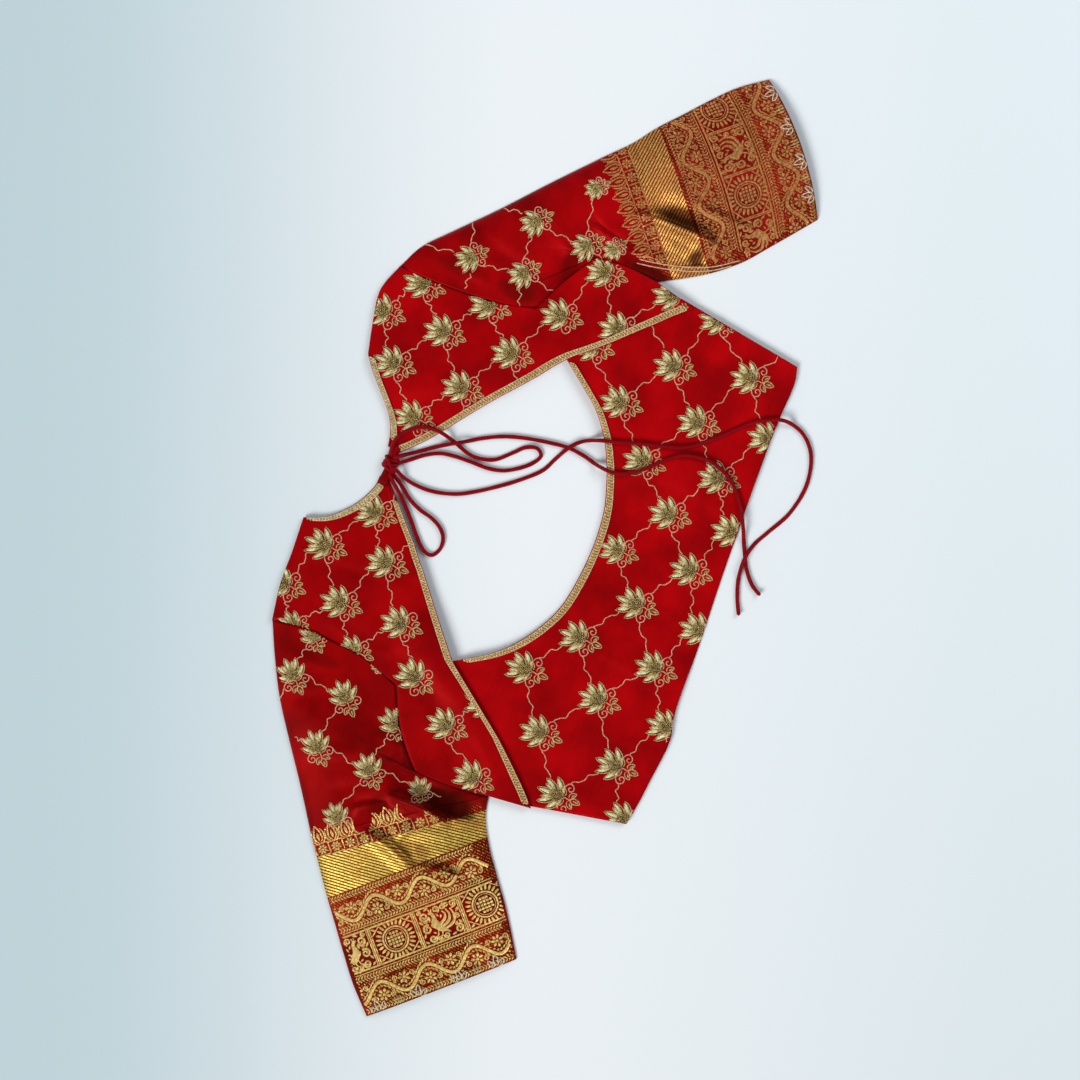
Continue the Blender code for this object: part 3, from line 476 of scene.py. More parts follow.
def on_fronts(stations, fractions, plan):
    """Underside of the lower back as a height function of a panel."""
    return bodice_height(plan[..., 0], plan[..., 1])


def on_strap(rows):
    """A strap's height as a function of its panel."""
    return lambda stations, fractions, plan: strap_height(rows, stations, fractions, plan)


def panel_grid(rows, per_station, lines, height):
    """A panel's upper face on a grid: lines close together at both sides, edges turned down."""
    stations = np.linspace(0, len(rows) - 1, (len(rows) - 1) * per_station + 1)
    fractions = 0.5 - 0.5 * np.cos(np.pi * np.linspace(0, 1, lines))
    fractions = np.tile(0.4 * fractions + 0.6 * np.linspace(0, 1, lines), (len(stations), 1))
    plan = across(rows, stations, fractions)
    z = height(stations, fractions, plan) + CLOTH
    width = np.linalg.norm(plan[:, -1] - plan[:, 0], axis=-1)[:, None]
    edge = np.minimum(fractions, 1 - fractions) * width
    z = z - EDGE_TURN * np.exp(-((edge / EDGE_REACH) ** 2))
    return np.concatenate([plan, z[..., None]], axis=-1)


def armhole_edge(rows, stations):
    """The strap's B side moved out across the seam gap, square to its own run, off the body."""
    stations = np.asarray(stations, float)
    last = len(rows) - 1
    here = side(rows, "B", stations)
    run = (side(rows, "B", np.minimum(stations + 0.05, last))
           - side(rows, "B", np.maximum(stations - 0.05, 0)))
    square = np.stack([-run[:, 1], run[:, 0]], axis=-1)
    square /= np.linalg.norm(square, axis=-1)[:, None]
    square *= np.sign(square[:, :1] * np.sign(here[:, :1] - BODY_MIDDLE))
    return here + SEAM_GAP * square


# Shares of the way across a sleeve, closest together at its folds
AROUND = 0.5 - 0.5 * np.cos(np.pi * np.linspace(0, 1, 129))


def sleeve_plan(sleeve, strap, per_row):
    """Plan of the sleeve: its first line is the armhole seam, eased into straight lines."""
    rows = np.linspace(0, len(sleeve) - 1, (len(sleeve) - 1) * per_row + 1)
    outer = through([(row.outer_x, row.outer_y) for row in sleeve], [0] * len(sleeve), rows)
    strap_stations = np.interp(rows, range(len(sleeve)), [row.strap_station for row in sleeve])
    inner = armhole_edge(strap, strap_stations)
    seam = armhole_edge(strap, SHOULDER_POINT + (ARMHOLE_TURN - SHOULDER_POINT) * AROUND)
    outer[0] = seam[0]
    straight = outer[:, None] + (inner - outer)[:, None] * AROUND[:, None]
    ease = (1 - smooth_step(0, ARMHOLE_EASE, rows))[:, None, None]
    plan = straight + (seam - straight[0]) * ease
    crown = np.interp(rows, range(len(sleeve)), [row.crown for row in sleeve])
    return plan, crown


def border_plan(border, sleeve_end, sleeve_crown, per_row):
    """Plan of the border: its first line is the sleeve's last one, moved across the seam gap."""
    outer = np.array([sleeve_end[0]] + [(row.outer_x, row.outer_y) for row in border])
    inner = np.array([sleeve_end[-1]] + [(row.inner_x, row.inner_y) for row in border])
    plain = [0] * len(outer)
    rows = np.linspace(0, len(border), len(border) * per_row + 1)
    outer, inner = through(outer, plain, rows), through(inner, plain, rows)
    bow = np.interp(rows, range(len(border) + 1), [0] + [row.bow for row in border])
    down = (outer[-1] + inner[-1] - outer[0] - inner[0]) / 2
    down /= np.linalg.norm(down)
    plan = outer[:, None] + (inner - outer)[:, None] * AROUND[:, None]
    plan += (bow[:, None] * 4 * AROUND * (1 - AROUND))[..., None] * down
    plan[0] += down * SEAM_GAP
    crown = np.interp(rows, range(len(border) + 1), [sleeve_crown] + [row.crown for row in border])
    return plan, crown


def tube_grid(plan, crown, hem=False):
    """A flat-laid tube's rings, over the crown from fold to fold and back along the floor.

    The crown rises as 1 - |2t - 1| to a power; the fold is round, from the floor up.
    """
    arch = np.clip(1 - np.abs(2 * AROUND - 1) ** ARCH_FLATNESS, 0, 1) ** ARCH_ROUNDNESS
    middle = SLEEVE_FOLD_HEIGHT / 2
    top = middle + (crown[:, None] - middle) * arch
    x, y = plan[..., 0], plan[..., 1]
    top = top + arch * (folds_at(x, y, SLEEVE_FOLDS) + creases_at(x, y, SLEEVE_CREASES)
                        + pleats_at(x, y, SLEEVE_PLEATS))
    top = np.maximum(top, middle + LEAST_CROWN * arch)
    edge = np.minimum(AROUND, 1 - AROUND)
    floor = middle * (1 - np.clip(edge / TUBE_FOLD, 0, 1)) ** 2 + 0.02
    low = np.broadcast_to(floor, top.shape) + 0.0
    if hem:
        rows_in = (len(plan) - 1 - np.arange(len(plan)))[:, None]
        top = top - HEM_TURN * np.exp(-(rows_in / HEM_REACH) ** 2)
    over = np.concatenate([plan, top[..., None]], axis=-1)
    back = np.concatenate([plan, low[..., None]], axis=-1)[:, -5:3:-4]
    return np.concatenate([over, back], axis=1)


def front_grid(rows, per_station):
    """A front turned back on itself: in from the outer edge, round a half-circle fold, and back."""
    stations = np.linspace(0, len(rows) - 1, (len(rows) - 1) * per_station + 1)
    width = np.linalg.norm(side(rows, "B", stations) - side(rows, "A", stations), axis=-1)[:, None]
    flat = np.linspace(1, 0, 9)[:-1]
    turn = np.linspace(0, np.pi, 7)
    low = FRONT_FOLD / width + flat * (1 - FRONT_FOLD / width)
    bend = FRONT_FOLD / width * (1 - np.sin(turn))
    fractions = np.concatenate([low, bend, low[:, ::-1]], axis=1)
    layer = np.full(len(flat), FRONT_FOLD)
    level = np.concatenate([-layer, -FRONT_FOLD * np.cos(turn), layer])
    plan = across(rows, stations, fractions)
    z = FRONT_CLOTH / 2 + np.broadcast_to(level, fractions.shape)
    return np.concatenate([plan, z[..., None]], axis=-1)


# A map of height over the plan, in which a cell that a cloth doesn't cover is NaN
MAP_LOW, MAP_SPAN, MAP_STEP = np.array([-450.0, -230.0]), np.array([900.0, 430.0]), 0.8
MAP_SHAPE = (MAP_SPAN / MAP_STEP).astype(int) + 1
MAP_FINENESS = 6      # times as many points as the grid has, so that no cell is missed


def refined(grid, times):
    """A grid with times as many steps both ways, its new points on straight lines."""
    for axis in (0, 1):
        grid = np.moveaxis(grid, axis, 0)
        spots = np.linspace(0, len(grid) - 1, (len(grid) - 1) * times + 1)
        start = np.minimum(spots.astype(int), len(grid) - 2)
        part = (spots - start)[:, None, None]
        grid = np.moveaxis(grid[start] * (1 - part) + grid[start + 1] * part, 0, axis)
    return grid


def height_map(grid):
    """The mean height of a surface in each cell of the map."""
    points = refined(grid, MAP_FINENESS).reshape(-1, 3)
    cell = np.round((points[:, :2] - MAP_LOW) / MAP_STEP).astype(int)
    index = cell[:, 0] * MAP_SHAPE[1] + cell[:, 1]
    size = MAP_SHAPE[0] * MAP_SHAPE[1]
    count = np.bincount(index, minlength=size)
    total = np.bincount(index, points[:, 2], minlength=size)
    return np.where(count > 0, total / np.maximum(count, 1), np.nan).reshape(MAP_SHAPE)


def height_at(heights, plan):
    """A map read between its cells; NaN off the cloth."""
    spot = np.clip((plan - MAP_LOW) / MAP_STEP, 0, MAP_SHAPE - 1.001)
    spot = np.nan_to_num(spot)
    i, j = spot[..., 0].astype(int), spot[..., 1].astype(int)
    u, v = spot[..., 0] - i, spot[..., 1] - j
    low = heights[i, j] * (1 - u) + heights[i + 1, j] * u
    high = heights[i, j + 1] * (1 - u) + heights[i + 1, j + 1] * u
    return low * (1 - v) + high * v


def lie(plan, heights, lift):
    """Plan points raised to the cloth and then by lift."""
    return np.concatenate([plan, (height_at(heights, plan) + lift)[..., None]], axis=-1)


def copies(points, places):
    """Plan points turned, scaled and moved to every place, as an array of places by points."""
    places = np.asarray(places, float)
    angle, scale = np.radians(places[:, 2, None]), places[:, 3, None]
    x, y = points[:, 0], points[:, 1]
    return np.stack([places[:, 0, None] + scale * (x * np.cos(angle) - y * np.sin(angle)),
                     places[:, 1, None] + scale * (x * np.sin(angle) + y * np.cos(angle))], axis=-1)


def grid_faces(columns, rows, wrap=False):
    """The quads of a grid of columns by rows points; wrap joins the last row to the first."""
    spans = rows if wrap else rows - 1
    i, j = np.meshgrid(np.arange(columns - 1), np.arange(spans), indexing="ij")
    after = (j + 1) % rows
    return np.stack([i * rows + j, (i + 1) * rows + j, (i + 1) * rows + after, i * rows + after],
                    axis=-1).reshape(-1, 4)


def repeated(faces, count, points_each):
    """One copy's faces for each of count copies."""
    return (faces[None] + np.arange(count)[:, None, None] * points_each).reshape(-1, faces.shape[1])


def joined(*parts):
    """Several sets of points, faces and UV as one."""
    start, points, faces, uvs = 0, [], [], []
    for part_points, part_faces, part_uv in parts:
        points.append(part_points)
        faces.append(part_faces + start)
        uvs.append(part_uv)
        start += len(part_points)
    return np.concatenate(points), np.concatenate(faces), np.concatenate(uvs)


def kept(points, faces, uv):
    """Without the faces that reach off the cloth, nor the points that no face then uses."""
    good = np.isfinite(points).all(axis=1)
    faces = faces[good[faces].all(axis=1)]
    used, faces = np.unique(faces, return_inverse=True)
    return points[used], faces.reshape(-1, 4), uv[used]


def tubes(paths, radius, sides, taper=True):
    """Round tubes on paths: each ring is its point plus the radius times cosine and sine of the
    turn, along two directions square to the path. Tapered ends close to a point."""
    number, count = paths.shape[:2]
    along = np.gradient(paths, axis=1)
    along /= np.maximum(np.linalg.norm(along, axis=-1, keepdims=True), 1e-9)
    flat = np.stack([along[..., 1], -along[..., 0], np.zeros_like(along[..., 0])], axis=-1)
    flat /= np.maximum(np.linalg.norm(flat, axis=-1, keepdims=True), 1e-9)
    over = np.cross(flat, along)
    size = np.broadcast_to(np.asarray(radius, float), (number, count)).copy()
    if taper:
        size[:, [0, -1]] *= 0.05
    turn = np.arange(sides) * 2 * np.pi / sides
    ring = (np.cos(turn)[:, None] * flat[:, :, None] + np.sin(turn)[:, None] * over[:, :, None])
    points = paths[:, :, None] + ring * size[..., None, None]
    step = np.linalg.norm(np.diff(paths, axis=1, prepend=paths[:, :1]), axis=-1)
    run = np.cumsum(np.nan_to_num(step), axis=1)
    uv = np.stack([np.broadcast_to(run[:, :, None], points.shape[:3]),
                   np.broadcast_to(turn, points.shape[:3])], axis=-1)
    faces = repeated(grid_faces(count, sides, wrap=True), number, count * sides)
    return points.reshape(-1, 3), faces, uv.reshape(-1, 2)


def petal_plan(petals, along, lanes):
    """Petals in plan on a grid: a parabola from foot to tip, spread by a width that grows as a
    power of the way along and closes to a point. Also their heights' shape, and UV in
    millimetres."""
    rows = np.array(petals, float)
    foot, tip, bow, width = rows[:, :2], rows[:, 2:4], rows[:, 4], rows[:, 5]
    run = tip - foot
    length = np.linalg.norm(run, axis=1)
    left = np.stack([-run[:, 1], run[:, 0]], axis=1) / length[:, None]
    s = np.linspace(0, 1, along)
    centre = (foot[:, None] + run[:, None] * s[:, None]
              + left[:, None] * (4 * bow[:, None] * s * (1 - s))[..., None])
    swell = s**0.5 * (1 - s) ** 0.72
    swell = swell / swell.max()
    half = width[:, None] / 2 * swell
    t = np.linspace(-1, 1, lanes)
    plan = centre[:, :, None] + left[:, None, None] * (half[..., None] * t)[..., None]
    dome = np.sqrt(np.clip(1 - t**2, 0, 1))
    shape = np.broadcast_to(dome * (0.35 + 0.65 * swell)[:, None], plan.shape[:3])
    uv = np.stack([np.broadcast_to((s * length[:, None])[..., None], plan.shape[:3]),
                   np.broadcast_to(half[..., None] * t, plan.shape[:3])], axis=-1)
    return plan, shape, uv


def inside(petals):
    """The narrower fills within petals' outlines."""
    made = []
    for petal in petals:
        run_x, run_y = petal.x1 - petal.x0, petal.y1 - petal.y0
        made.append(Petal(petal.x0 + FILL_FROM * run_x, petal.y0 + FILL_FROM * run_y,
                          petal.x0 + FILL_TO * run_x, petal.y0 + FILL_TO * run_y,
                          petal.bow * FILL_WIDTH, petal.width * FILL_WIDTH))
    return made


def laid_petals(petals, places, heights, rise, along=9, lift=-0.08):
    """Domed petals copied to every place and laid on the cloth."""
    plan, shape, uv = petal_plan(petals, along, PETAL_LANES)
    count, each = len(petals), along * PETAL_LANES
    spots = copies(plan.reshape(-1, 2), places)
    points = lie(spots, heights, np.tile(shape.ravel() * rise, (len(spots), 1)) + lift)
    faces = repeated(grid_faces(along, PETAL_LANES), len(spots) * count, each)
    uv = np.tile(uv.reshape(1, -1, 2), (len(spots), 1, 1))
    return points.reshape(-1, 3), faces, uv.reshape(-1, 2)


def laid_outlines(petals, places, heights, radius):
    """A fine cord round each petal, on the cloth."""
    plan, _, _ = petal_plan(petals, 8, 2)
    loop = np.concatenate([plan[:, :, 0], plan[:, -2::-1, 1]], axis=1)
    count = loop.shape[1]
    spots = copies(loop.reshape(-1, 2), places).reshape(-1, count, 2)
    return tubes(lie(spots, heights, radius * 0.8), radius, 4)


def laid_routes(route, places, heights, count):
    """A short stem along the same route at every place."""
    path = smooth_route(route, count)
    return tubes(lie(copies(path, places), heights, STEM_RADIUS * 0.6), STEM_RADIUS, 5)


def dome_plan(sides):
    """A low round knot or bead: rings of shrinking radius and growing height."""
    radius, level = np.array([1.0, 0.92, 0.6, 0.05]), np.array([-0.15, 0.4, 0.85, 1.0])
    turn = np.arange(sides) * 2 * np.pi / sides
    plan = radius[:, None, None] * np.stack([np.cos(turn), np.sin(turn)], axis=-1)
    return plan.reshape(-1, 2), np.repeat(level, sides), grid_faces(4, sides, wrap=True)[:, ::-1]


def laid_domes(places, heights, radius, rise, sides):
    """Domes at every place, on the cloth."""
    plan, level, faces = dome_plan(sides)
    spots = copies(plan * radius, places)
    points = lie(spots, heights, np.tile(level * rise, (len(spots), 1)))
    return (points.reshape(-1, 3), repeated(faces, len(spots), len(plan)),
            np.zeros((points.shape[0] * points.shape[1], 2)))


def laid_rings(places, heights, radius, thick, lift):
    """A small ring of cord at every place."""
    turn = np.linspace(0, 2 * np.pi, 8)
    route = radius * np.stack([np.cos(turn), np.sin(turn)], axis=-1)
    return tubes(lie(copies(route, places), heights, lift), thick, 4, taper=False)


def spot_places(spot, places):
    """Where one spot of a template falls in every copy, as places of its own."""
    at = copies(np.array([spot], float), places)[:, 0]
    rest = np.asarray(places, float)[:, 2:]
    return np.concatenate([at, rest], axis=1)


def vine(a, b, phase):
    """A line in plan with two sine waves across it, held at both ends."""
    s = np.linspace(0, 1, 46)
    square = np.array([-(b - a)[1], (b - a)[0]]) / np.linalg.norm(b - a)
    wave = (1.5 * np.sin(s * 2 * np.pi * 1.5 + phase)
            + 0.4 * np.sin(s * 2 * np.pi * 3.6 + phase * 1.6))
    hold = np.sqrt(np.clip(np.sin(np.pi * s), 0, 1))
    return a + (b - a) * s[:, None] + square * (wave * hold)[:, None]


def seen_from(at, turn, x, y):
    """A point given from a flower's middle and turn, as a point in plan."""
    angle = np.radians(turn)
    return np.array([at[0] + x * np.cos(angle) - y * np.sin(angle),
                     at[1] + x * np.sin(angle) + y * np.cos(angle)])


def vine_paths(flowers, lattice, stray, heights):
    """Plan of the vines: from both curls of a flower to the shoulder of the next one, or off the
    cloth, and the stray ones."""
    flowers = np.asarray(flowers, float)
    paths = [vine(np.array(a), np.array(b), number * 1.7) for number, (a, b) in enumerate(stray)]
    for number, (x, y, turn, scale) in enumerate(flowers):
        for hand in (-1, 1) if scale > NO_VINES_BELOW else ():
            hoped = seen_from((x, y), turn, hand * lattice[0], lattice[1])
            away = np.linalg.norm(flowers[:, :2] - hoped, axis=1)
            near = int(away.argmin())
            found = away[near] < VINE_REACH
            there, facing, size = hoped, turn, scale
            if found:
                there, facing, size = flowers[near, :2], *flowers[near, 2:]
            a = seen_from((x, y), turn, hand * VINE_FROM[0] * scale, VINE_FROM[1] * scale)
            b = seen_from(there, facing, -hand * VINE_TO[0] * size, VINE_TO[1] * size)
            if not found and (np.isfinite(height_at(heights, b)) or abs(b[0]) > BORDER_STARTS):
                continue
            paths.append(vine(a, b, number * 1.3 + hand))
    return np.array(paths)


def edge_lines(rows, which, first, last, offsets, height, steps):
    """Lines that run inside one side of a panel, each at its own distance in from the edge."""
    stations = np.linspace(first, last, steps + 1)
    width = np.linalg.norm(side(rows, "B", stations) - side(rows, "A", stations), axis=-1)
    fractions = np.asarray(offsets)[None] / width[:, None]
    if which == "B":
        fractions = 1 - fractions
    plan = across(rows, stations, fractions)
    z = height(stations, fractions, plan) + CLOTH
    return np.concatenate([plan, z[..., None]], axis=-1)


def border_spot(axes, along, up):
    """Plan of a point given along the hem and up from it; the hem may bow outwards."""
    along, up = np.asarray(along, float), np.asarray(up, float)
    part = np.clip(along / axes.length, 0, 1)
    fade = np.clip(1 - up / (axes.band_high + TEMPLE_RISE), 0, 1)
    up = up - axes.bow * 4 * part * (1 - part) * fade
    return (np.array(axes.corner) + along[..., None] * np.array(axes.along)
            + up[..., None] * np.array(axes.up))


def off_buds(points, axes):
    """Mark as off the cloth the points that would fall among a border's woven buds."""
    along, up = border_reading(axes, points[:, :2]).T
    points[up < axes.band_high - axes.fall * along + TEMPLE_RISE - 7] = np.nan


def off_selvedge(points, axes):
    """Mark as off the cloth the points on a border's plain sides."""
    along, up = border_reading(axes, points[:, :2]).T
    points[(along - axes.lean_low * up < axes.plain)
           | (along - axes.lean_high * up > axes.length - axes.plain)] = np.nan


def border_reading(axes, plan):
    """Along the hem and up from it, of points in plan, before the bow."""
    away = plan - np.array(axes.corner)
    return np.stack([away @ np.array(axes.along), away @ np.array(axes.up)], axis=-1)


def stroke(points, count=14):
    """A woven line of varying width, from points of along, up and width, as a grid three wide."""
    line = smooth_route(points, count)
    run = np.gradient(line[:, :2], axis=0)
    run /= np.maximum(np.linalg.norm(run, axis=1, keepdims=True), 1e-9)
    square = np.stack([-run[:, 1], run[:, 0]], axis=1)
    lanes = np.array([-0.5, 0, 0.5])
    plan = line[:, None, :2] + square[:, None] * (line[:, 2:] * lanes)[..., None]
    return plan, np.broadcast_to([0.0, 1.0, 0.0], plan.shape[:2])


def woven(strokes, axes, heights, rise):
    """Strokes laid on the border as raised metal-thread figures."""
    parts = []
    for plan, shape in strokes:
        spots = border_spot(axes, plan[..., 0], plan[..., 1])
        points = lie(spots, heights, shape * rise + 0.12)
        parts.append((points.reshape(-1, 3), grid_faces(*plan.shape[:2]), plan.reshape(-1, 2)))
    return joined(*parts)


def leaf_row(up, start, stop, pitch, turn, size):
    """A row of small woven leaves, turned the same way, as strokes."""
    spots = np.arange(start, stop, pitch)
    angle = np.radians(turn)
    reach = size * np.array([np.cos(angle), np.sin(angle)]) / 2
    return [stroke([(x - reach[0], up - reach[1], 0.3), (x, up, size * 0.42),
                    (x + reach[0], up + reach[1], 0.3)], 4) for x in spots]


def rays(x, up, turns, profile, count):
    """Woven rays out of a middle, one at each turn, from a profile of distances and widths."""
    return [stroke([(x + reach * np.cos(turn), up + reach * np.sin(turn), width)
                    for reach, width in profile], count) for turn in turns]


def rosette(x, up, radius, petals):
    """A woven flower: petals round a middle."""
    turns = np.arange(petals) * 2 * np.pi / petals + 0.3
    profile = [(0.3 * radius, 0.4), (0.7 * radius, radius * 0.44), (radius, 0.4)]
    return rays(x, up, turns, profile, 5) + [ring(x, up, 0.12 * radius, 0.24 * radius, 8)]


def ring(x, up, radius, width, count):
    """A woven ring; a radius of half its width makes a disc."""
    turn = np.linspace(0, 2 * np.pi, count + 1)
    lanes = radius + width * np.array([0.5, 0, -0.5])
    turn = turn[:, None]
    plan = np.stack([x + lanes * np.cos(turn), up + lanes * np.sin(turn)], axis=-1)
    return plan, np.broadcast_to([0.0, 1.0, 0.0], plan.shape[:2])


def spiral(x, up, turn, hand, radius, width):
    """A woven scroll: a spiral whose radius shrinks evenly over one and a half turns."""
    s = np.linspace(0, 1, 9)
    angle = np.radians(turn) + hand * s * 3 * np.pi
    reach = radius * (1 - 0.82 * s)
    return stroke(np.stack([x + reach * np.cos(angle), up + reach * np.sin(angle),
                            width * (1 - 0.4 * s)], axis=-1), 20)


def wheel(x, up):
    """A woven wheel: rays round a ring, and a chequered middle."""
    made = rays(x, up, np.arange(26) * 2 * np.pi / 26, [(12.4, 1.3), (14.6, 2.2), (17.2, 1.0)], 4)
    made += [ring(x, up, 10.9, 1.5, 40), ring(x, up, 8.9, 0.6, 32)]
    for way in (-1, 1):
        for hand in (-1, 1):
            for count, line in [(8, [(18.2, 8.6, 1.0), (9.8, 15.4, 1.0)]),
                                (5, [(17.8, 14.4, 0.6), (15.8, 13.2, 2.0), (14, 12.2, 0.5)])]:
                made.append(stroke([(x + way * a, up + hand * b, c) for a, b, c in line], count))
    spots = np.arange(-2, 3) * 2.9
    made += [stroke([(x + a - 1.1, up + b, 2.1), (x + a + 1.1, up + b, 2.1)], 3)
             for a in spots for b in spots if np.hypot(a, b) < 7.6]
    return made


# A strutting bird with a curled tail in a square of scrolls: points of along, up and width
BIRD = [
    [(-4, -9, 1.0), (-1, -7, 4.0), (3, -3, 6.0), (5, 2, 4.6), (4, 6.5, 2.4), (5.5, 9.5, 2.6),
     (8, 10, 1.0)],
    [(3, -2, 1.0), (-1, -1, 2.2), (-4.5, 1.5, 2.0), (-6, 5.5, 1.4), (-4, 8.5, 1.0)],
    [(1.5, -4.5, 1.0), (-3.5, -3.5, 2.2), (-8, -0.5, 2.0), (-9.5, 4.5, 1.4), (-7.5, 9, 1.0)],
    [(-1, -7, 1.0), (-6.5, -6, 2.0), (-11.5, -3, 2.0), (-13, 3, 1.5), (-11.5, 8.5, 1.0)],
    [(5, 10.5, 0.8), (4.2, 13, 0.9)], [(6.2, 11, 0.8), (6.6, 13.4, 0.9)],
    [(1, -7.5, 0.9), (2, -11, 0.9), (4, -12, 0.9)], [(4, -6, 0.9), (5.5, -10, 0.9), (8, -11, 0.9)],
]
BIRD_SCROLLS = [
    (12, 8.5, 200, 1, 4.4, 1.9), (12.5, -2.5, 120, -1, 4.2, 1.8), (-13.5, -10.5, 60, 1, 4.2, 1.8),
    (-14.5, 11.5, -60, -1, 3.4, 1.6), (10.5, -11.5, 160, 1, 3.6, 1.7),
    (0.5, 11.5, 250, -1, 3.2, 1.5), (-5.5, 12, 100, 1, 2.8, 1.4), (-1.5, -12.5, 20, -1, 2.8, 1.4),
    (-15, 0, 0, 1, 2.6, 1.4), (15.5, 13.2, 90, 1, 2.2, 1.3), (4.6, -13, 200, 1, 2.2, 1.3),
]


# Leaves that fill the rest of the square: along, up, turn and size
BIRD_LEAVES = [
    (-16.4, -5.5, 60, 4.6), (-16.6, 5.2, -50, 4.4), (16.4, -7.4, 120, 4.4), (16.2, 4.2, 50, 4.8),
    (-9.4, 13.6, 10, 4.4), (8.6, 14.2, -20, 4.6), (-8.2, -13.6, 170, 4.4), (16.4, -13.2, 40, 4.2),
    (-4.2, -9.8, 30, 4), (7.6, -1.2, 70, 4), (8.2, 4.6, 110, 4), (-9.8, 11.2, 150, 3.4),
    (0.8, 6.4, 60, 3.6), (-1.8, 4.4, 110, 3.6), (-12.6, -5.6, 140, 3.6), (-17, 14.2, 40, 3.4),
    (12.4, 3.4, 10, 3.6), (7.4, -7.4, 30, 3.4), (-17, -14, 130, 3.2), (2.8, -14.6, 0, 3.2),
]


def bird(x, up, hand):
    """A woven bird, its scrolls and leaves, facing along or back."""
    made = [stroke([(x + hand * a, up + b, c * 1.15) for a, b, c in line], 9) for line in BIRD]
    made += [spiral(x + hand * a, up + b, 90 - hand * (90 - turn), way * hand, size, width * 1.1)
             for a, b, turn, way, size, width in BIRD_SCROLLS]
    for a, b, turn, size in BIRD_LEAVES:
        reach = size / 2 * np.array([hand * np.cos(np.radians(turn)), np.sin(np.radians(turn))])
        at = np.array([x + hand * a, up + b])
        made.append(stroke([(*(at - reach), 0.4), (*at, size * 0.44), (*(at + reach), 0.4)], 5))
    return made


def vine_row(up, length, hand):
    """A woven vine that waves along the border, leafy on both sides, with a flower and two
    scrolls in each hollow."""
    def wave(x):
        """The vine's middle line, a cosine along the border."""
        return up + hand * VINE_RISE * np.cos(np.pi * x / VINE_HALF_WAVE)

    along = np.linspace(-6, length + 6, 90)
    made = [stroke(np.stack([along, wave(along), np.full(90, 2.9)], axis=-1), 130)]
    for x in np.arange(0.6, length, VINE_LEAF_PITCH):
        lean = -hand * VINE_RISE * np.pi / VINE_HALF_WAVE * np.sin(np.pi * x / VINE_HALF_WAVE)
        for way in (-1, 1):
            base = wave(x) + way * 3.1
            made.append(stroke([(x, base, 0.4), (x + 1.1, base + lean + way * 0.9, 1.5),
                                (x + 2.2, base + 2 * lean + way * 1.8, 0.4)], 4))
    for number, x in enumerate(np.arange(0, length + 1, VINE_HALF_WAVE)):
        way = hand * (1 if number % 2 == 0 else -1)
        middle = up - way * 4.2
        made += rosette(x, middle, 5.6, 7)
        made += [spiral(x + 7.6, middle - way * 1.6, 90 * way, -way, 2.6, 1.15),
                 spiral(x - 7.6, middle - way * 1.6, 90 * way, way, 2.6, 1.15)]
    return made


def temples(axes):
    """The row of pointed buds, outlined round a small seed, over small squares."""
    made = []
    for x in np.arange(4, axes.length + 12, TEMPLE_PITCH):
        foot = axes.band_high - axes.fall * x
        tip = foot + TEMPLE_RISE - 1
        made += [stroke([(x, tip - 13.4, 0.6), (x, tip - 9.6, 2.6), (x, tip - 6.2, 0.5)], 6)]
        for hand in (-1, 1):
            made += [stroke([(x + hand * 0.5, tip - 15.6, 0.9), (x + hand * 3.3, tip - 11.6, 1.3),
                             (x + hand * 2.6, tip - 5.6, 1.4), (x, tip, 0.8)], 9),
                     stroke([(x + hand * 2, tip - 16.5, 0.8), (x + hand * 5.4, tip - 12.5, 1.4),
                             (x + hand * 5.4, tip - 7, 1.2), (x + hand * 3.6, tip - 3.2, 0.5)], 8)]
        made += rosette(x, foot + 5.8, 4.4, 8)
        made += [stroke([(x - 6, foot + up, 1.0), (x + 6, foot + up, 1.0)], 4) for up in (0.6, 11)]
        made += [stroke([(x + 6.2, foot + 1, 1.0), (x + 6.2, foot + 11, 1.0)], 4)]
    return made


def border_figures(axes, squares):
    """All the woven figures of a border, from the hem up."""
    length = axes.length
    made = [stroke([(-4, up, width), (length / 2, up, width), (length + 4, up, width)], 60)
            for up, width in [(UPPER_FRAME, 1.5), (UPPER_FRAME + 2.7, 0.8), (LOWER_FRAME, 1.5),
                              (LOWER_FRAME - 2.7, 0.8)]]
    for up, turn in [(axes.band_low - 2.0, 45), (axes.band_low - 4.6, -45), (UPPER_FRAME + 4.8, 45),
                     (UPPER_FRAME + 7.4, -45), (LOWER_FRAME - 5.0, 45), (LOWER_FRAME - 7.6, -45),
                     *LEAF_ROWS]:
        made += leaf_row(up, 0.5, length, 2.7, turn, 3.3)
    for up, hand in zip(VINE_ROWS, (1, -1)):
        made += vine_row(up, length, hand)
    for number, square in enumerate(squares):
        if square.kind == "wheel":
            made += wheel(square.at, SQUARE_MIDDLE)
        else:
            made += bird(square.at, SQUARE_MIDDLE, 1 if number % 4 < 2 else -1)
        for edge in SQUARE_SIDES:
            x = square.at + edge
            made += [stroke([(x, LOWER_FRAME + 0.8, 0.8), (x, UPPER_FRAME - 0.8, 0.8)], 12)]
    return made + temples(axes)


# Making meshes and looks

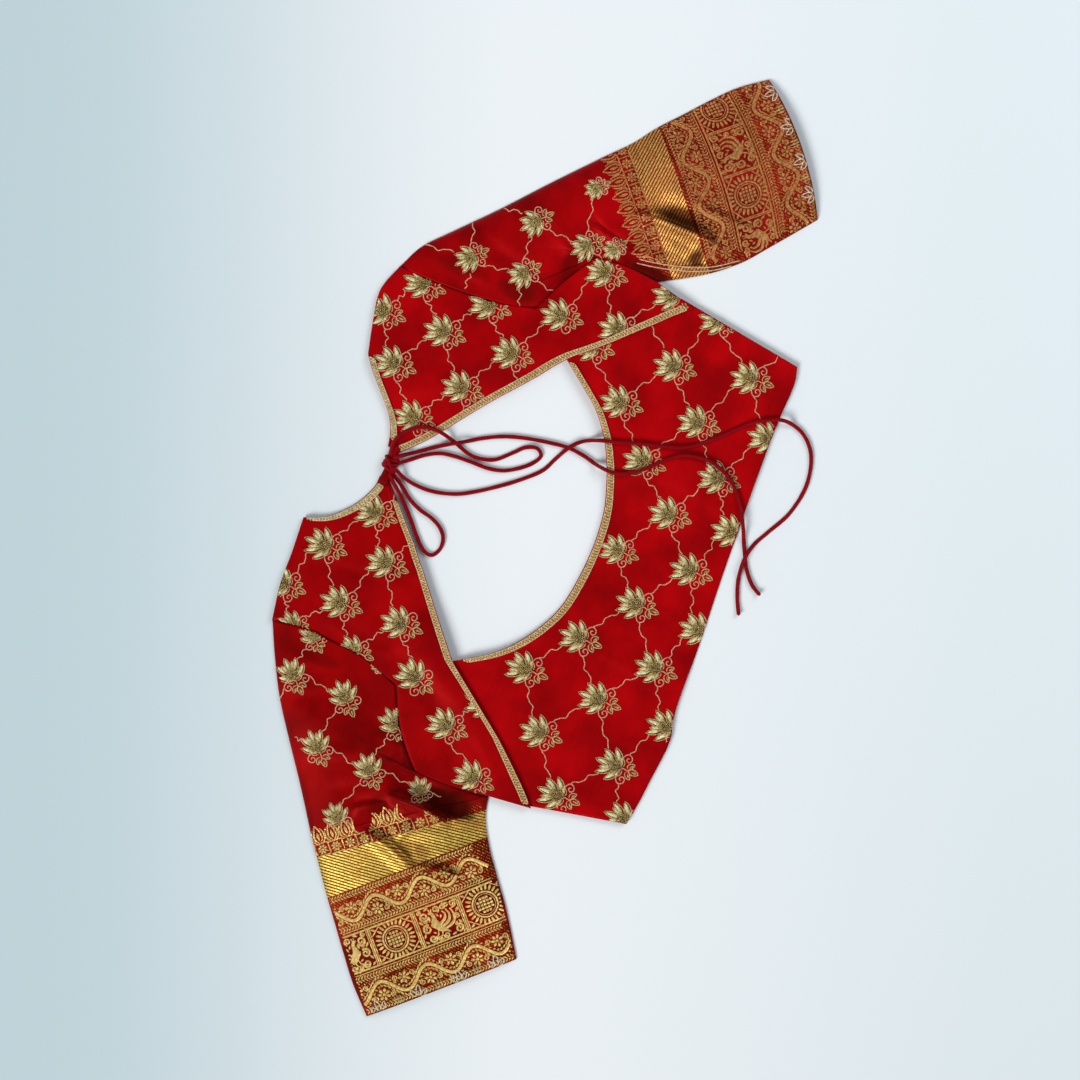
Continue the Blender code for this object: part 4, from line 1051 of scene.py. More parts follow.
def make_piece(name, points, faces, uv, look, slot, nodes=()):
    """A mesh piece in metres, with its look and the nodes it replaces; its slot is not used."""
    mesh = bpy.data.meshes.new(name)
    mesh.vertices.add(len(points))
    mesh.vertices.foreach_set("co", (points * MM).astype(np.float32).ravel())
    mesh.loops.add(faces.size)
    mesh.loops.foreach_set("vertex_index", faces.astype(np.int32).ravel())
    mesh.polygons.add(len(faces))
    mesh.polygons.foreach_set("loop_start", np.arange(len(faces), dtype=np.int32) * 4)
    mesh.update(calc_edges=True)
    layer = mesh.uv_layers.new(name="cloth")
    layer.data.foreach_set("uv", uv[faces.ravel()].astype(np.float32).ravel())
    mesh.shade_smooth()
    mesh.materials.append(look)
    piece = bpy.data.objects.new(name, mesh)
    bpy.context.scene.collection.objects.link(piece)
    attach(piece, "root")
    if nodes:
        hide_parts(*nodes)
    return piece


def upward(points, faces, uv):
    """An open sheet with its faces turned to look up."""
    a, b, c = (points[faces[:, corner]] for corner in (0, 1, 2))
    flip = np.cross(b - a, c - a)[:, 2].sum() < 0
    return points, faces[:, ::-1] if flip else faces, uv


def outward(points, faces):
    """A closed mesh's faces turned outwards: reversed where its volume comes out negative."""
    a, b, c, d = (points[faces[:, corner]] for corner in range(4))
    volume = (a * np.cross(b, c)).sum() + (a * np.cross(c, d)).sum()
    return faces[:, ::-1] if volume < 0 else faces


def shell(piece):
    """Give a cloth its thin wall, inwards."""
    wall = piece.modifiers.new("shell", "SOLIDIFY")
    wall.thickness = SHELL * MM
    wall.offset = -1.0
    return piece


STITCH_PITCH = 0.9                  # of the satin stitches, in millimetres
STRIPE_PITCH = 2.5                  # of the gold band's red lines
LEAF_PITCHES = (3.1, 3.4)           # of the brocade's small leaves, along and up
TEMPLE_RED = (0.26, 0.001, 0.003)   # the brocade's ground between the pointed buds


class Recipe:
    """A material being made from nodes, whose inputs are numbers or other nodes' outputs."""

    def __init__(self, name, roughness, specular, metallic=0.0):
        """Start from the plain shader with its gloss and its share of metal."""
        self.material = bpy.data.materials.new(name)
        self.material.use_nodes = True
        self.tree = self.material.node_tree
        self.shader = self.tree.nodes["Principled BSDF"]
        self.set("Roughness", roughness)
        self.set("Metallic", metallic)
        self.set("Specular IOR Level", specular)

    def set(self, socket, value):
        """Set or link one of the shader's sockets."""
        target = self.shader.inputs[socket]
        if isinstance(value, bpy.types.NodeSocket):
            self.tree.links.new(value, target)
        else:
            target.default_value = value

    def add(self, kind, inputs, output=0, **settings):
        """Put in a node and give back one of its outputs."""
        node = self.tree.nodes.new("ShaderNode" + kind)
        for key, value in settings.items():
            setattr(node, key, value)
        for socket, value in inputs.items():
            if isinstance(value, bpy.types.NodeSocket):
                self.tree.links.new(value, node.inputs[socket])
            else:
                node.inputs[socket].default_value = value
        return node.outputs[output]

    def math(self, operation, a, b=0.0):
        """One sum, by its operation's name."""
        return self.add("Math", {0: a, 1: b}, operation=operation)

    def times(self, a, b):
        """a multiplied by b."""
        return self.math("MULTIPLY", a, b)

    def plus(self, a, b):
        """a and b added."""
        return self.math("ADD", a, b)

    def minus(self, a, b):
        """b taken from a."""
        return self.math("SUBTRACT", a, b)

    def rest(self, a):
        """What a leaves of 1."""
        return self.minus(1.0, a)

    def axes(self, kind):
        """The three axes of Object coordinates or of the piece's UV, one by one."""
        source = self.add("TexCoord", {}, output=kind)
        return self.add("SeparateXYZ", {0: source}).node.outputs

    def mix(self, factor, a, b):
        """A colour from a at 0 to b at 1."""
        return self.add("Mix", {0: factor, 6: a, 7: b}, output=2, data_type="RGBA")

    def place(self, kind, scale, turn=0.0):
        """Object coordinates or the piece's UV, scaled on each axis and turned."""
        source = self.add("TexCoord", {}, output=kind)
        return self.add("Mapping", {"Vector": source, "Scale": scale, "Rotation": (0, 0, turn)})

    def noise(self, where, scale, detail=2.0, roughness=0.5):
        """Soft noise, mostly between 0.3 and 0.7."""
        return self.add("TexNoise", {"Vector": where, "Scale": scale, "Detail": detail,
                                     "Roughness": roughness})

    def band(self, low, high, value):
        """Rises from 0 to 1 between low and high."""
        return self.add("MapRange", {"Value": value, "From Min": low, "From Max": high},
                        interpolation_type="SMOOTHSTEP")

    def bump(self, height, distance, strength):
        """Fine relief from a height that is 0 to 1, over a distance in metres."""
        self.set("Normal", self.add("Bump", {"Height": height, "Distance": distance,
                                             "Strength": strength}))

    def painted_shade(self, colour, shade_spots):
        """The colour darkened with painted shade within the ellipses of the tucks, and the gloss
        with it.
        """
        if not shade_spots:
            return colour
        lit = 1.0
        for shade_spot in shade_spots:
            at = self.add("Mapping", {
                "Vector": self.add("TexCoord", {}, output="Object"),
                "Location": (-shade_spot.x / shade_spot.half_x, -shade_spot.y / shade_spot.half_y, 0),
                "Scale": (1 / (shade_spot.half_x * MM), 1 / (shade_spot.half_y * MM), 0)})
            away = self.add("VectorMath", {0: at}, output=1, operation="LENGTH")
            dark = self.times(self.rest(self.band(*SHADE_SPOT_EDGE, away)), shade_spot.depth)
            lit = self.times(lit, self.rest(dark))
        gloss = self.shader.inputs["Specular IOR Level"].default_value
        self.set("Specular IOR Level", self.times(lit, gloss))
        # painted shade: near black red where the tucks are deep
        return self.mix(lit, rgb(*PAINTED_SHADE_COLOUR), colour)

    def done(self, colour):
        """The finished material, with its colour."""
        self.set("Base Color", colour)
        return self.material


def rgb(red, green, blue):
    """A colour with full alpha."""
    return (red, green, blue, 1.0)


def silk(name, turn=0.0, bright=(0.41, 0.0010, 0.0028), deep=(0.20, 0.0006, 0.0016), shade_spots=()):
    """Red silk blend: slubs along one thread, a fine plain weave and slow changes of shade, and
    painted shade in the deeps of any tucks.
    """
    made = Recipe(name, 0.42, 0.5)
    made.set("Specular Tint", rgb(1.0, 0.03, 0.03))
    slub = made.noise(made.place("Object", (30, 560, 200), turn), 1.0, 3.0)
    slow = made.noise(made.place("Object", (24, 24, 24), turn), 1.0, 3.0, 0.55)
    warp = made.add("TexWave", {"Vector": made.place("Object", (1, 1, 1), turn), "Scale": 330.0,
                                "Distortion": 0.6}, bands_direction="X")
    weft = made.add("TexWave", {"Vector": made.place("Object", (1, 1, 1), turn), "Scale": 290.0,
                                "Distortion": 0.6}, bands_direction="Y")
    shade = made.plus(made.times(slub, 0.13), made.times(slow, 0.97))
    colour = made.mix(made.band(0.28, 0.82, shade), rgb(*deep), rgb(*bright))
    thread = made.times(made.plus(warp, weft), 0.5)
    made.bump(made.plus(made.times(thread, 0.4), slub), 0.0001, 0.7)
    return made.done(made.painted_shade(colour, shade_spots))


def metal_thread(name, pale, dark, metallic, roughness=0.36, tips=None):
    """Satin stitches of metal thread: fine ridges across the piece's UV, with painted shade
    between threads. With tips, the pale shade only comes in from there along the UV."""
    made = Recipe(name, roughness, 0.25, metallic)
    where = made.place("UV", (1 / STITCH_PITCH, 0.3 / STITCH_PITCH, 1), 0.35)
    ridge = made.add("TexWave", {"Vector": where, "Scale": 0.32, "Distortion": 1.2, "Detail": 1.0},
                     bands_direction="X")
    spots = made.noise(made.place("Object", (1000, 1000, 1000)), 0.5, 3.0, 0.65)
    # the ridges' low parts go darker: painted shade between threads
    shade = made.plus(made.times(ridge, 0.28), made.times(spots, 1.0))
    if tips:
        lift = made.times(made.band(*tips, made.axes("UV")[0]), 0.3)
        shade = made.plus(shade, made.minus(lift, 0.16))
    colour = made.mix(made.band(0.42, 0.86, shade), rgb(*dark), rgb(*pale))
    made.bump(made.plus(ridge, spots), 0.0003, 1.0)
    return made.done(colour)


def brocade(name, axes, slope, gold, gold_shade, deep, bright, shade_spots):
    """Woven brocade by the UV along the hem and up from it: a gold band with fine red diagonal
    lines, and elsewhere a red ground filled with small gold leaves. Painted shade darkens the
    deeps of the tucks."""
    made = Recipe(name, 0.5, 0.12)
    made.set("Specular Tint", rgb(1.0, 0.3, 0.2))
    along, up, _ = made.axes("UV")
    wander = made.noise(made.place("Object", (40, 40, 40)), 1.0, 1.0)
    up = made.plus(up, made.times(made.minus(wander, 0.5), 1.2))
    level = made.plus(up, made.times(along, axes.fall))
    band = made.times(made.band(axes.band_low, axes.band_low + 0.5, up),
                     made.rest(made.band(axes.band_high, axes.band_high + 0.5, level)))
    lean = made.minus(up, made.times(along, slope))
    wave = made.math("SINE", made.times(lean, 2 * np.pi / (STRIPE_PITCH * np.hypot(1, slope))))
    stripe = made.band(-0.5, -0.15, wave)
    stray = made.times(made.noise(made.place("Object", (300, 300, 300)), 1.0, 1.0), 11.0)
    turns = [made.times(way, 2 * np.pi / pitch) for way, pitch in zip((along, up), LEAF_PITCHES)]
    drops = made.times(made.math("SINE", made.plus(stray, turns[0])),
                       made.math("SINE", made.minus(turns[1], stray)))
    leaves = made.band(0.58, 0.74, drops)
    ground = made.rest(made.band(axes.band_high + 3, axes.band_high + 9, level))
    squares = made.times(made.band(LOWER_FRAME - 0.2, LOWER_FRAME + 0.2, up),
                        made.rest(made.band(UPPER_FRAME - 0.2, UPPER_FRAME + 0.2, up)))
    ground = made.times(ground, made.rest(squares))
    figured = made.times(leaves, ground)
    grain = made.noise(made.place("Object", (1000, 1000, 1000)), 0.8, 2.0, 0.6)
    first = made.minus(along, made.times(up, axes.lean_low))
    last = made.minus(along, made.times(up, axes.lean_high))
    figured = made.times(figured, made.band(axes.plain - 0.5, axes.plain + 0.5, first))
    past = made.band(axes.length - axes.plain - 0.5, axes.length - axes.plain + 0.5, last)
    figured = made.times(figured, made.rest(past))
    metal = made.plus(made.times(stripe, band), made.times(figured, made.rest(band)))
    shine = made.mix(made.band(0.3, 0.7, grain), rgb(*gold_shade), rgb(*gold))
    dim = made.mix(band, made.mix(0.28, rgb(*gold_shade), shine), shine)
    high = made.band(axes.band_high + 6, axes.band_high + 14, level)
    red = made.mix(made.band(0.35, 0.7, wander), rgb(*deep), rgb(*bright))
    red = made.mix(high, red, rgb(*TEMPLE_RED))
    made.set("Metallic", made.times(metal, 0.7))
    made.bump(made.plus(metal, made.times(grain, 0.5)), 0.0002, 0.9)
    return made.done(made.painted_shade(made.mix(metal, red, dim), shade_spots))


def twisted_cord(name):
    """Dark crimson rolled cord: a fine twill that winds round it, darker in its grooves as
    painted shade.
    """
    made = Recipe(name, 0.5, 0.4)
    made.set("Specular Tint", rgb(1.0, 0.08, 0.08))
    where = made.place("UV", (1.0, 1.0, 1), 0.6)
    twill = made.add("TexWave", {"Vector": where, "Scale": 0.55, "Distortion": 0.4},
                     bands_direction="X")
    slow = made.noise(made.place("Object", (90, 90, 90)), 1.0, 2.0)
    # the twill's grooves go darker: painted shade
    shade = made.plus(made.times(twill, 0.4), made.times(slow, 0.6))
    made.bump(twill, 0.0002, 0.9)
    return made.done(made.mix(shade, rgb(0.12, 0.001, 0.003), rgb(0.36, 0.003, 0.010)))


def table_top():
    """The plain pale surface, lightest along a wide band across the middle of the view: a
    painted band of light.
    """
    made = Recipe("pale_surface", 0.9, 0.1)
    x, y, _ = made.axes("Object")
    side_metres = VIEW_SIDE * MM
    share = made.plus(made.times(x, VIEW_RIGHT.x / side_metres),
                      made.times(y, VIEW_RIGHT.y / side_metres))
    share = made.plus(share, 0.48)
    # painted light: the middle band is lighter, as if lit more
    light = made.times(made.band(0.02, 0.5, share),
                       made.rest(made.times(made.band(0.45, 1.0, share), 0.4)))
    return made.done(made.mix(light, rgb(0.50, 0.62, 0.67), rgb(0.775, 0.815, 0.85)))


RED_SILK = silk("red_silk_body")
# The left strap's silk is the body's red silk made darker, as painted shade.
RED_SILK_STRAP_SHADED = silk("red_silk_left_strap_shaded", 0.0, (0.35, 0.0010, 0.0022), (0.17, 0.0006, 0.0014))
# The sleeves' silk is the body's red silk turned with the weave and made darker, as painted shade,
# the left one most; painted shade also darkens their tucks.
RED_SILK_LEFT = silk("red_silk_left_sleeve", 0.75, (0.30, 0.001, 0.0016), (0.13, 0.0006, 0.001),
                     PAINTED_SHADE_LEFT)
RED_SILK_RIGHT = silk("red_silk_right_sleeve", -0.75, (0.37, 0.001, 0.0026),
                      (0.16, 0.0006, 0.0014), PAINTED_SHADE_RIGHT)
# The knot's silk is the body's red silk made darker, as painted shade in its gathers.
GATHERED_SILK_SHADED = silk("gathered_silk_shaded", 1.2, (0.24, 0.001, 0.003), (0.10, 0.0006, 0.0016))
PETAL_GOLD = metal_thread("petal_gold", (1.0, 0.98, 0.58), (0.30, 0.21, 0.04), 0.3,
                          tips=(1.0, 7.5))
# Painted shade: the dark red-brown of the cloth in shade between a lotus's fills and cords.
PETAL_SHADE_UNDERLAY = metal_thread("petal_shade_underlay", (0.17, 0.040, 0.010), (0.06, 0.010, 0.003), 0.1)
KNOT_GOLD = metal_thread("knot_gold", (0.84, 0.68, 0.26), (0.12, 0.07, 0.015), 0.3)
OUTLINE_GOLD = metal_thread("outline_gold", (1.0, 0.74, 0.38), (0.40, 0.19, 0.06), 0.25)
VINE_COPPER = metal_thread("vine_copper", (1.0, 0.58, 0.38), (0.50, 0.17, 0.10), 0.2)
BRAID_GOLD = metal_thread("braid_gold", (1.0, 0.86, 0.46), (0.60, 0.40, 0.14), 0.3)
BRAID_DARK = metal_thread("braid_dark", (0.50, 0.33, 0.13), (0.15, 0.075, 0.02), 0.2)
BRAID_SILVER = metal_thread("braid_silver", (1.0, 0.92, 0.66), (0.50, 0.40, 0.22), 0.3)
BRAID_EDGE = metal_thread("braid_edge", (1.0, 0.76, 0.50), (0.52, 0.28, 0.14), 0.2)
SPRIG_SILVER = metal_thread("sprig_silver", (1.0, 1.0, 0.90), (0.62, 0.60, 0.46), 0.15)
SPRIG_DARK = metal_thread("sprig_dark", (0.85, 0.70, 0.30), (0.16, 0.11, 0.03), 0.3)
# The same gold thread and brocade on both borders, in lit and shaded copies: the left gold paler
# and yellower as painted light, the right copper and darker as painted shade.
ZARI_LEFT_LIT = metal_thread("zari_left", (1.0, 0.78, 0.28), (0.44, 0.22, 0.045), 0.6, 0.34)
ZARI_RIGHT_SHADED = metal_thread("zari_right", (0.84, 0.42, 0.13), (0.26, 0.07, 0.02), 0.5, 0.38)
BROCADE_LEFT = brocade("brocade_left", AXES_LEFT, -0.73, (0.90, 0.75, 0.17), (0.38, 0.23, 0.03),
                       (0.11, 0.0015, 0.001), (0.25, 0.004, 0.002), PAINTED_SHADE_LEFT)
BROCADE_RIGHT = brocade("brocade_right", AXES_RIGHT, 1.07, (0.90, 0.56, 0.16),
                        (0.40, 0.17, 0.035), (0.13, 0.003, 0.002), (0.24, 0.005, 0.004),
                        PAINTED_SHADE_RIGHT)
CRIMSON_CORD = twisted_cord("crimson_cord")


# Camera first, then the cords, which lie on the cloth's map

def build_camera():
    """A long lens straight over the garment, rolled as in the photograph."""
    data = bpy.data.cameras.new("camera")
    data.sensor_width = SENSOR
    data.lens = SENSOR * CAMERA_HEIGHT / VIEW_SIDE
    data.clip_end = 100.0
    camera = bpy.data.objects.new("camera", data)
    place = Matrix.Identity(4)
    place.col[0][:3], place.col[1][:3] = VIEW_RIGHT, VIEW_UP
    place.col[3][:3] = Vector((*VIEW_CENTRE, CAMERA_HEIGHT)) * MM
    camera.matrix_world = place
    bpy.context.scene.collection.objects.link(camera)
    bpy.context.scene.camera = camera


build_camera()

SIDES = [("left", STRAP_LEFT, SLEEVE_LEFT, BORDER_LEFT),
         ("right", STRAP_RIGHT, SLEEVE_RIGHT, BORDER_RIGHT)]
grids = {"back_lower": panel_grid(BACK_LOWER, 9, 72, on_fronts)}
# Each braid's node, its cloth, its run along one side of a panel, the panel's height and the steps
trims = [("lower_trim", "back_lower", (BACK_LOWER, "B", LOWER_TRIM_FROM, LOWER_TRIM_TO),
          on_fronts, 150)]
for word, strap, sleeve, border in SIDES:
    grids[f"back_strap_{word}"] = panel_grid(strap, 10, 64, on_strap(strap))
    plan, crown = sleeve_plan(sleeve, strap, 16)
    grids[f"sleeve_{word}"] = tube_grid(plan, crown)
    plan, crown = border_plan(border, plan[-1], crown[-1], 13)
    grids[f"sleeve_border_{word}"] = tube_grid(plan, crown, hem=True)
    trims += [(f"strap_trim_{word}", f"back_strap_{word}",
               (strap, "A", STRAP_TRIM_FROM[word], STRAP_TRIM_TO), on_strap(strap), 150),
              (f"neck_trim_{word}", f"back_strap_{word}",
               (strap, "B", NECK_TRIM_FROM, NECK_TRIM_TO), on_strap(strap), 50)]
tops = len(AROUND)     # of a tube's lines, those over its crown come first
maps = {name: height_map(grid[:, :tops] if name.startswith("sleeve") else grid)
        for name, grid in grids.items()}


def over(*names):
    """The highest of several cloths' maps."""
    return np.fmax.reduce([maps[name] for name in names])


def cord_path(route, cloth, earlier, lifts):
    """A route's smooth curve a millimetre at a time, laid on the highest cloth or cord within
    reach, held for a short way on both sides and evened out, with its ends raised to the knot."""
    plan = evenly(smooth_route(route, (len(route) - 1) * 16 + 1), 1.0)
    radius = CORD_DIAMETER / 2
    turn = np.arange(12) * np.pi / 6
    circle = np.stack([np.cos(turn), np.sin(turn)], axis=-1) * CORD_REACH
    around = plan[:, None] + np.concatenate([[[0, 0]], circle])
    under = np.nan_to_num(height_at(cloth, around) + CORD_OVER_CLOTH).max(axis=1)
    for other in earlier:
        away = np.linalg.norm(plan[:, None] - other[None, :, :2], axis=-1)
        top = np.where(away < CORD_DIAMETER, other[None, :, 2] + radius, 0)
        under = np.maximum(under, top.max(axis=1))
    padded = np.pad(under, CORD_STIFF, mode="edge")
    wide = np.max([np.roll(padded, shift) for shift in range(-CORD_STIFF, CORD_STIFF + 1)], axis=0)
    z = np.convolve(wide, np.ones(CORD_EASE) / CORD_EASE, mode="same")[CORD_STIFF:-CORD_STIFF]
    z = z + radius + CORD_CLEAR
    along = np.arange(len(plan)) * 1.0
    for lift, away in zip(lifts, (along, along[-1] - along)):
        if lift:
            z = np.maximum(z, lift + (z - lift) * smooth_step(0, END_FALL, away))
    return np.concatenate([plan, z[:, None]], axis=-1)


def build_cords():
    """The bow and its ends, laid on the cloth; their real lengths in metres are listed with them.
    """
    cloth = over("back_lower", "back_strap_left", "back_strap_right")
    knot = KNOT_CENTRE[2]
    laid = []
    for name, route, lifts, far_end, length in [
            ("bow_right", BOW_RIGHT, (knot + CORD_DIAMETER / 2, knot), "object", 0.295),
            ("bow_left", BOW_LEFT, (knot, knot), "object", 0.173),
            ("tie_short", TIE_SHORT, (knot, None), "bare", 0.419),
            ("tie_long", TIE_LONG, (knot, None), "bare", 0.569)]:
        path = cord_path(route, cloth, laid, lifts)
        laid.append(path)
        line = evenly(path, CORD_STEP)
        run = np.arange(len(line)) * CORD_STEP
        uneven = 1 + 0.035 * np.sin(run / 5.3) + 0.02 * np.sin(run / 1.9)
        thick = CORD_DIAMETER * CORD_FILL * uneven
        points, faces, uv = tubes(line[None], thick[None], 12)
        piece = make_piece(name + "_cord", points, outward(points, faces), uv * [1, 2.0],
                           CRIMSON_CORD, "tie_cord", [name])


build_cords()


# The cloth: each sheet's piece, with its thin wall, by name
sheets = {}


def build_sheet(name, grid, look, slot, wrap=False, uv=None):
    """A cloth from its grid, with its thin wall."""
    points = grid.reshape(-1, 3)
    faces = grid_faces(*grid.shape[:2], wrap=wrap)
    uv = points[:, :2] if uv is None else uv
    faces = outward(points, faces) if wrap else upward(points, faces, uv)[1]
    piece = make_piece(name + "_cloth", points, faces, uv, look, slot, [name])
    sheets[name] = shell(piece)


build_sheet("back_lower", grids["back_lower"], RED_SILK, "embroidered_cloth")
for word, *_ in SIDES:
    build_sheet(f"back_strap_{word}", grids[f"back_strap_{word}"],
                RED_SILK_STRAP_SHADED if word == "left" else RED_SILK, "embroidered_cloth")
    silk_look, brocade_look, axes = ((RED_SILK_LEFT, BROCADE_LEFT, AXES_LEFT) if word == "left"
                                     else (RED_SILK_RIGHT, BROCADE_RIGHT, AXES_RIGHT))
    build_sheet(f"sleeve_{word}", grids[f"sleeve_{word}"], silk_look, "embroidered_cloth",
                wrap=True)
    grid = grids[f"sleeve_border_{word}"]
    build_sheet(f"sleeve_border_{word}", grid, brocade_look, "brocade", wrap=True,
                uv=border_reading(axes, grid[..., :2].reshape(-1, 2)))
for word, rows in [("left", FRONT_LEFT), ("right", FRONT_RIGHT)]:
    build_sheet(f"front_{word}", front_grid(rows, 5), RED_SILK, "plain_cloth")

on_cloth = {name: [] for name in sheets}


def embroider(name, flowers):
    """Lotuses on one cloth: padded petals within fine cords over a dark underlay of whole petals
    and heart pads, painted shade in the gaps, a heart of rings, two curls and a stem, and the
    vines between them."""
    heights = maps[name]
    flowers = [(x, y, turn, scale * FLOWER_SIZE[name]) for x, y, turn, scale in flowers]
    flower = BRIGHT_PETALS + DARK_PETALS

    def fills(petals, rise, **shape):
        """Petals of one kind on every flower."""
        return laid_petals(petals, flowers, heights, rise, **shape)

    petals = joined(fills(inside(BRIGHT_PETALS), 1.0, lift=0.2),
                    fills(inside(inside(BUD)), 0.6, along=6, lift=0.1),
                    fills(inside(DARK_PETALS), 0.7, along=7, lift=0.15))
    # The underlay of whole petals and heart domes, dark red-brown: painted shade in the gaps
    # between fills and cords, and among the rings.
    leaves = joined(fills(flower, 0.35, along=7),
                    *[laid_domes(spot_places(at, flowers), heights, 3.6, 0.8, 10) for at in HEART])
    knots = joined(*[laid_rings(spot_places(at, flowers), heights, 1.05, OUTLINE_RADIUS, 1.0)
                     for at in RINGS])
    outlines = joined(laid_outlines(flower, flowers, heights, OUTLINE_RADIUS),
                      laid_outlines(BUD, flowers, heights, BUD_OUTLINE_RADIUS))
    paths = vine_paths(flowers, LATTICE[name], STRAY_VINES[name], heights)
    rope = ROPE_RADIUS * (1 + 0.16 * np.sin(np.arange(paths.shape[1]) * 2.2))
    vines = joined(laid_routes(CURL, flowers, heights, 26),
                   laid_routes([(-x, y) for x, y in CURL], flowers, heights, 26),
                   laid_routes(STEM, flowers, heights, 9),
                   tubes(lie(paths, heights, 0.35), rope, 5))
    word = name.replace("back_", "")
    # The leaves pieces carry the underlay's painted shade.
    for part, data, look in [("petals", petals, PETAL_GOLD), ("leaves", leaves, PETAL_SHADE_UNDERLAY),
                             ("knots", knots, KNOT_GOLD), ("outlines", outlines, OUTLINE_GOLD),
                             ("vines", vines, VINE_COPPER)]:
        if name.startswith("sleeve"):
            off_buds(data[0], AXES_LEFT if name.endswith("left") else AXES_RIGHT)
        on_cloth[name].append(make_piece(f"{part}_{word}", *kept(*data), look, "gold_braid"))


for name, flowers in FLOWERS.items():
    embroider(name, flowers)


# Braid: the ribbon's section, its edge cords and its rows of beads, by their way across it
RIBBON = [(0.0, 0.0), (0.5, 0.75), (TRIM_WIDTH / 2, 0.95), (TRIM_WIDTH - 0.5, 0.75),
          (TRIM_WIDTH, 0.0), (TRIM_WIDTH / 2, -0.05)]
EDGE_CORDS = (0.4, TRIM_WIDTH - 0.4)
BeadRow = namedtuple("BeadRow", "at slant half_length half_width")
BEAD_ROWS = rows_of(BeadRow, (1.75, 50, 1.15, 0.62), (3.0, 0, 0.55, 0.55), (4.25, -50, 1.15, 0.62))
BEAD_PITCH = 2.6


def build_braid(name, cloth, where, height, steps):
    """A flat ribbon inside an edge, a fine cord on both its sides and three rows of beads, the
    outer two oval and slanting against each other."""
    silver = name.startswith("neck")
    body, bead = (SPRIG_DARK, BRAID_SILVER) if silver else (BRAID_DARK, BRAID_GOLD)
    slot = "silver_braid" if silver else "gold_braid"

    def lines(offsets):
        """Lines along the edge, at their ways across the braid."""
        return edge_lines(*where, TRIM_INSET + np.array(offsets), height, steps)

    offsets, rises = np.array(RIBBON).T
    grid = lines(offsets)
    grid[..., 2] += TRIM_GAP + rises - 0.05
    points, faces = grid.reshape(-1, 3), grid_faces(*grid.shape[:2], wrap=True)
    run = np.repeat(np.arange(steps + 1) * 2.0, len(offsets))
    uv = np.stack([run, np.tile(offsets, steps + 1)], axis=-1)
    ribbon = make_piece(name + "_braid", points, outward(points, faces), uv, body, slot, [name])
    cords = []
    for edge in np.moveaxis(lines(EDGE_CORDS), 1, 0):
        path = evenly(edge + [0, 0, TRIM_GAP + 0.85], 0.8)
        rope = ROPE_RADIUS * (1 + 0.2 * np.sin(np.arange(len(path)) * 2.4))
        cords.append(tubes(path[None], rope[None], 5))
    plan, level, faces = dome_plan(6)
    beads = []
    for row, line in zip(BEAD_ROWS, np.moveaxis(lines([row.at for row in BEAD_ROWS]), 1, 0)):
        spots = evenly(line, BEAD_PITCH)
        run = np.gradient(spots[:, :2], axis=0)
        turn = np.degrees(np.arctan2(run[:, 1], run[:, 0])) + row.slant
        at = np.concatenate([spots[:, :2], turn[:, None], np.ones((len(spots), 1))], axis=1)
        placed = copies(plan * [row.half_length, row.half_width], at)
        z = spots[:, 2, None] + TRIM_GAP + 0.8 + level * 0.55
        points = np.concatenate([placed, z[..., None]], axis=-1).reshape(-1, 3)
        beads.append((points, repeated(faces, len(spots), len(plan)), np.zeros((len(points), 2))))
    edges = make_piece(name + "_edge_cords", *joined(*cords), BRAID_EDGE, "gold_braid")
    on_cloth[cloth] += [ribbon, edges, make_piece(name + "_beads", *joined(*beads), bead, slot)]


for trim in trims:
    build_braid(*trim)


# The stitched sprigs along the borders' hems, and the buds between them
SPRIG = rows_of(Petal, (0, -4.6, 0, 5.4, 0, 3.9), (-1.1, -4.2, -6.8, 1.4, 0.9, 3.5),
                (1.1, -4.2, 6.8, 1.4, -0.9, 3.5))
HEM_BUD = rows_of(Petal, (0, -4.6, 0, 5.2, 0, 1.5), (-2.1, -4.6, -2.5, 3.6, 0.3, 1.4),
                  (2.1, -4.6, 2.5, 3.6, -0.3, 1.4))
SPRIG_LEANS = (8, -14, 2, -8)


def build_figures(word, axes, squares, zari):
    """The woven figures of a border, left away where the cloth laps over them."""
    heights = over(f"sleeve_{word}", f"sleeve_border_{word}")
    points, faces, uv = upward(*woven(border_figures(axes, squares), axes, heights, 0.4))
    for lap in LAPS:
        reach = np.hypot((points[:, 0] - lap.x) / lap.half_x, (points[:, 1] - lap.y) / lap.half_y)
        high = border_reading(axes, points[:, :2])[:, 1] > axes.band_high - 14
        points[(reach < 1) & high] = np.nan
    off_selvedge(points, axes)
    figures = kept(points, faces, uv)
    on_cloth[f"sleeve_border_{word}"].append(make_piece(f"zari_{word}", *figures, zari, "brocade"))


def build_sprigs(word, axes, sprigs):
    """Outlined sprigs of three leaves along a border's hem, each with its own lean, and between
    them buds of three short stripes."""
    heights = over(f"sleeve_{word}", f"sleeve_border_{word}")
    turn = np.degrees(np.arctan2(axes.up[1], axes.up[0])) - 90
    spots = border_spot(axes, sprigs, [SPRIG_HEIGHT] * len(sprigs))
    places = [(x, y, turn + lean, 1.0) for (x, y), lean in zip(spots, SPRIG_LEANS)]
    stitched = laid_outlines(SPRIG, places, heights, OUTLINE_RADIUS)
    between = (np.array(sprigs[:-1]) + np.array(sprigs[1:])) / 2
    spots = border_spot(axes, between, [SPRIG_HEIGHT - 0.5] * len(between))
    places = [(x, y, turn + 4, 1.0) for x, y in spots]
    buds = laid_petals(HEM_BUD, places, heights, 0.6, along=7)
    on_cloth[f"sleeve_border_{word}"] += [
        make_piece(f"hem_sprigs_{word}", *kept(*stitched), SPRIG_SILVER, "silver_braid"),
        make_piece(f"hem_hearts_{word}", *kept(*buds), SPRIG_DARK, "silver_braid")]


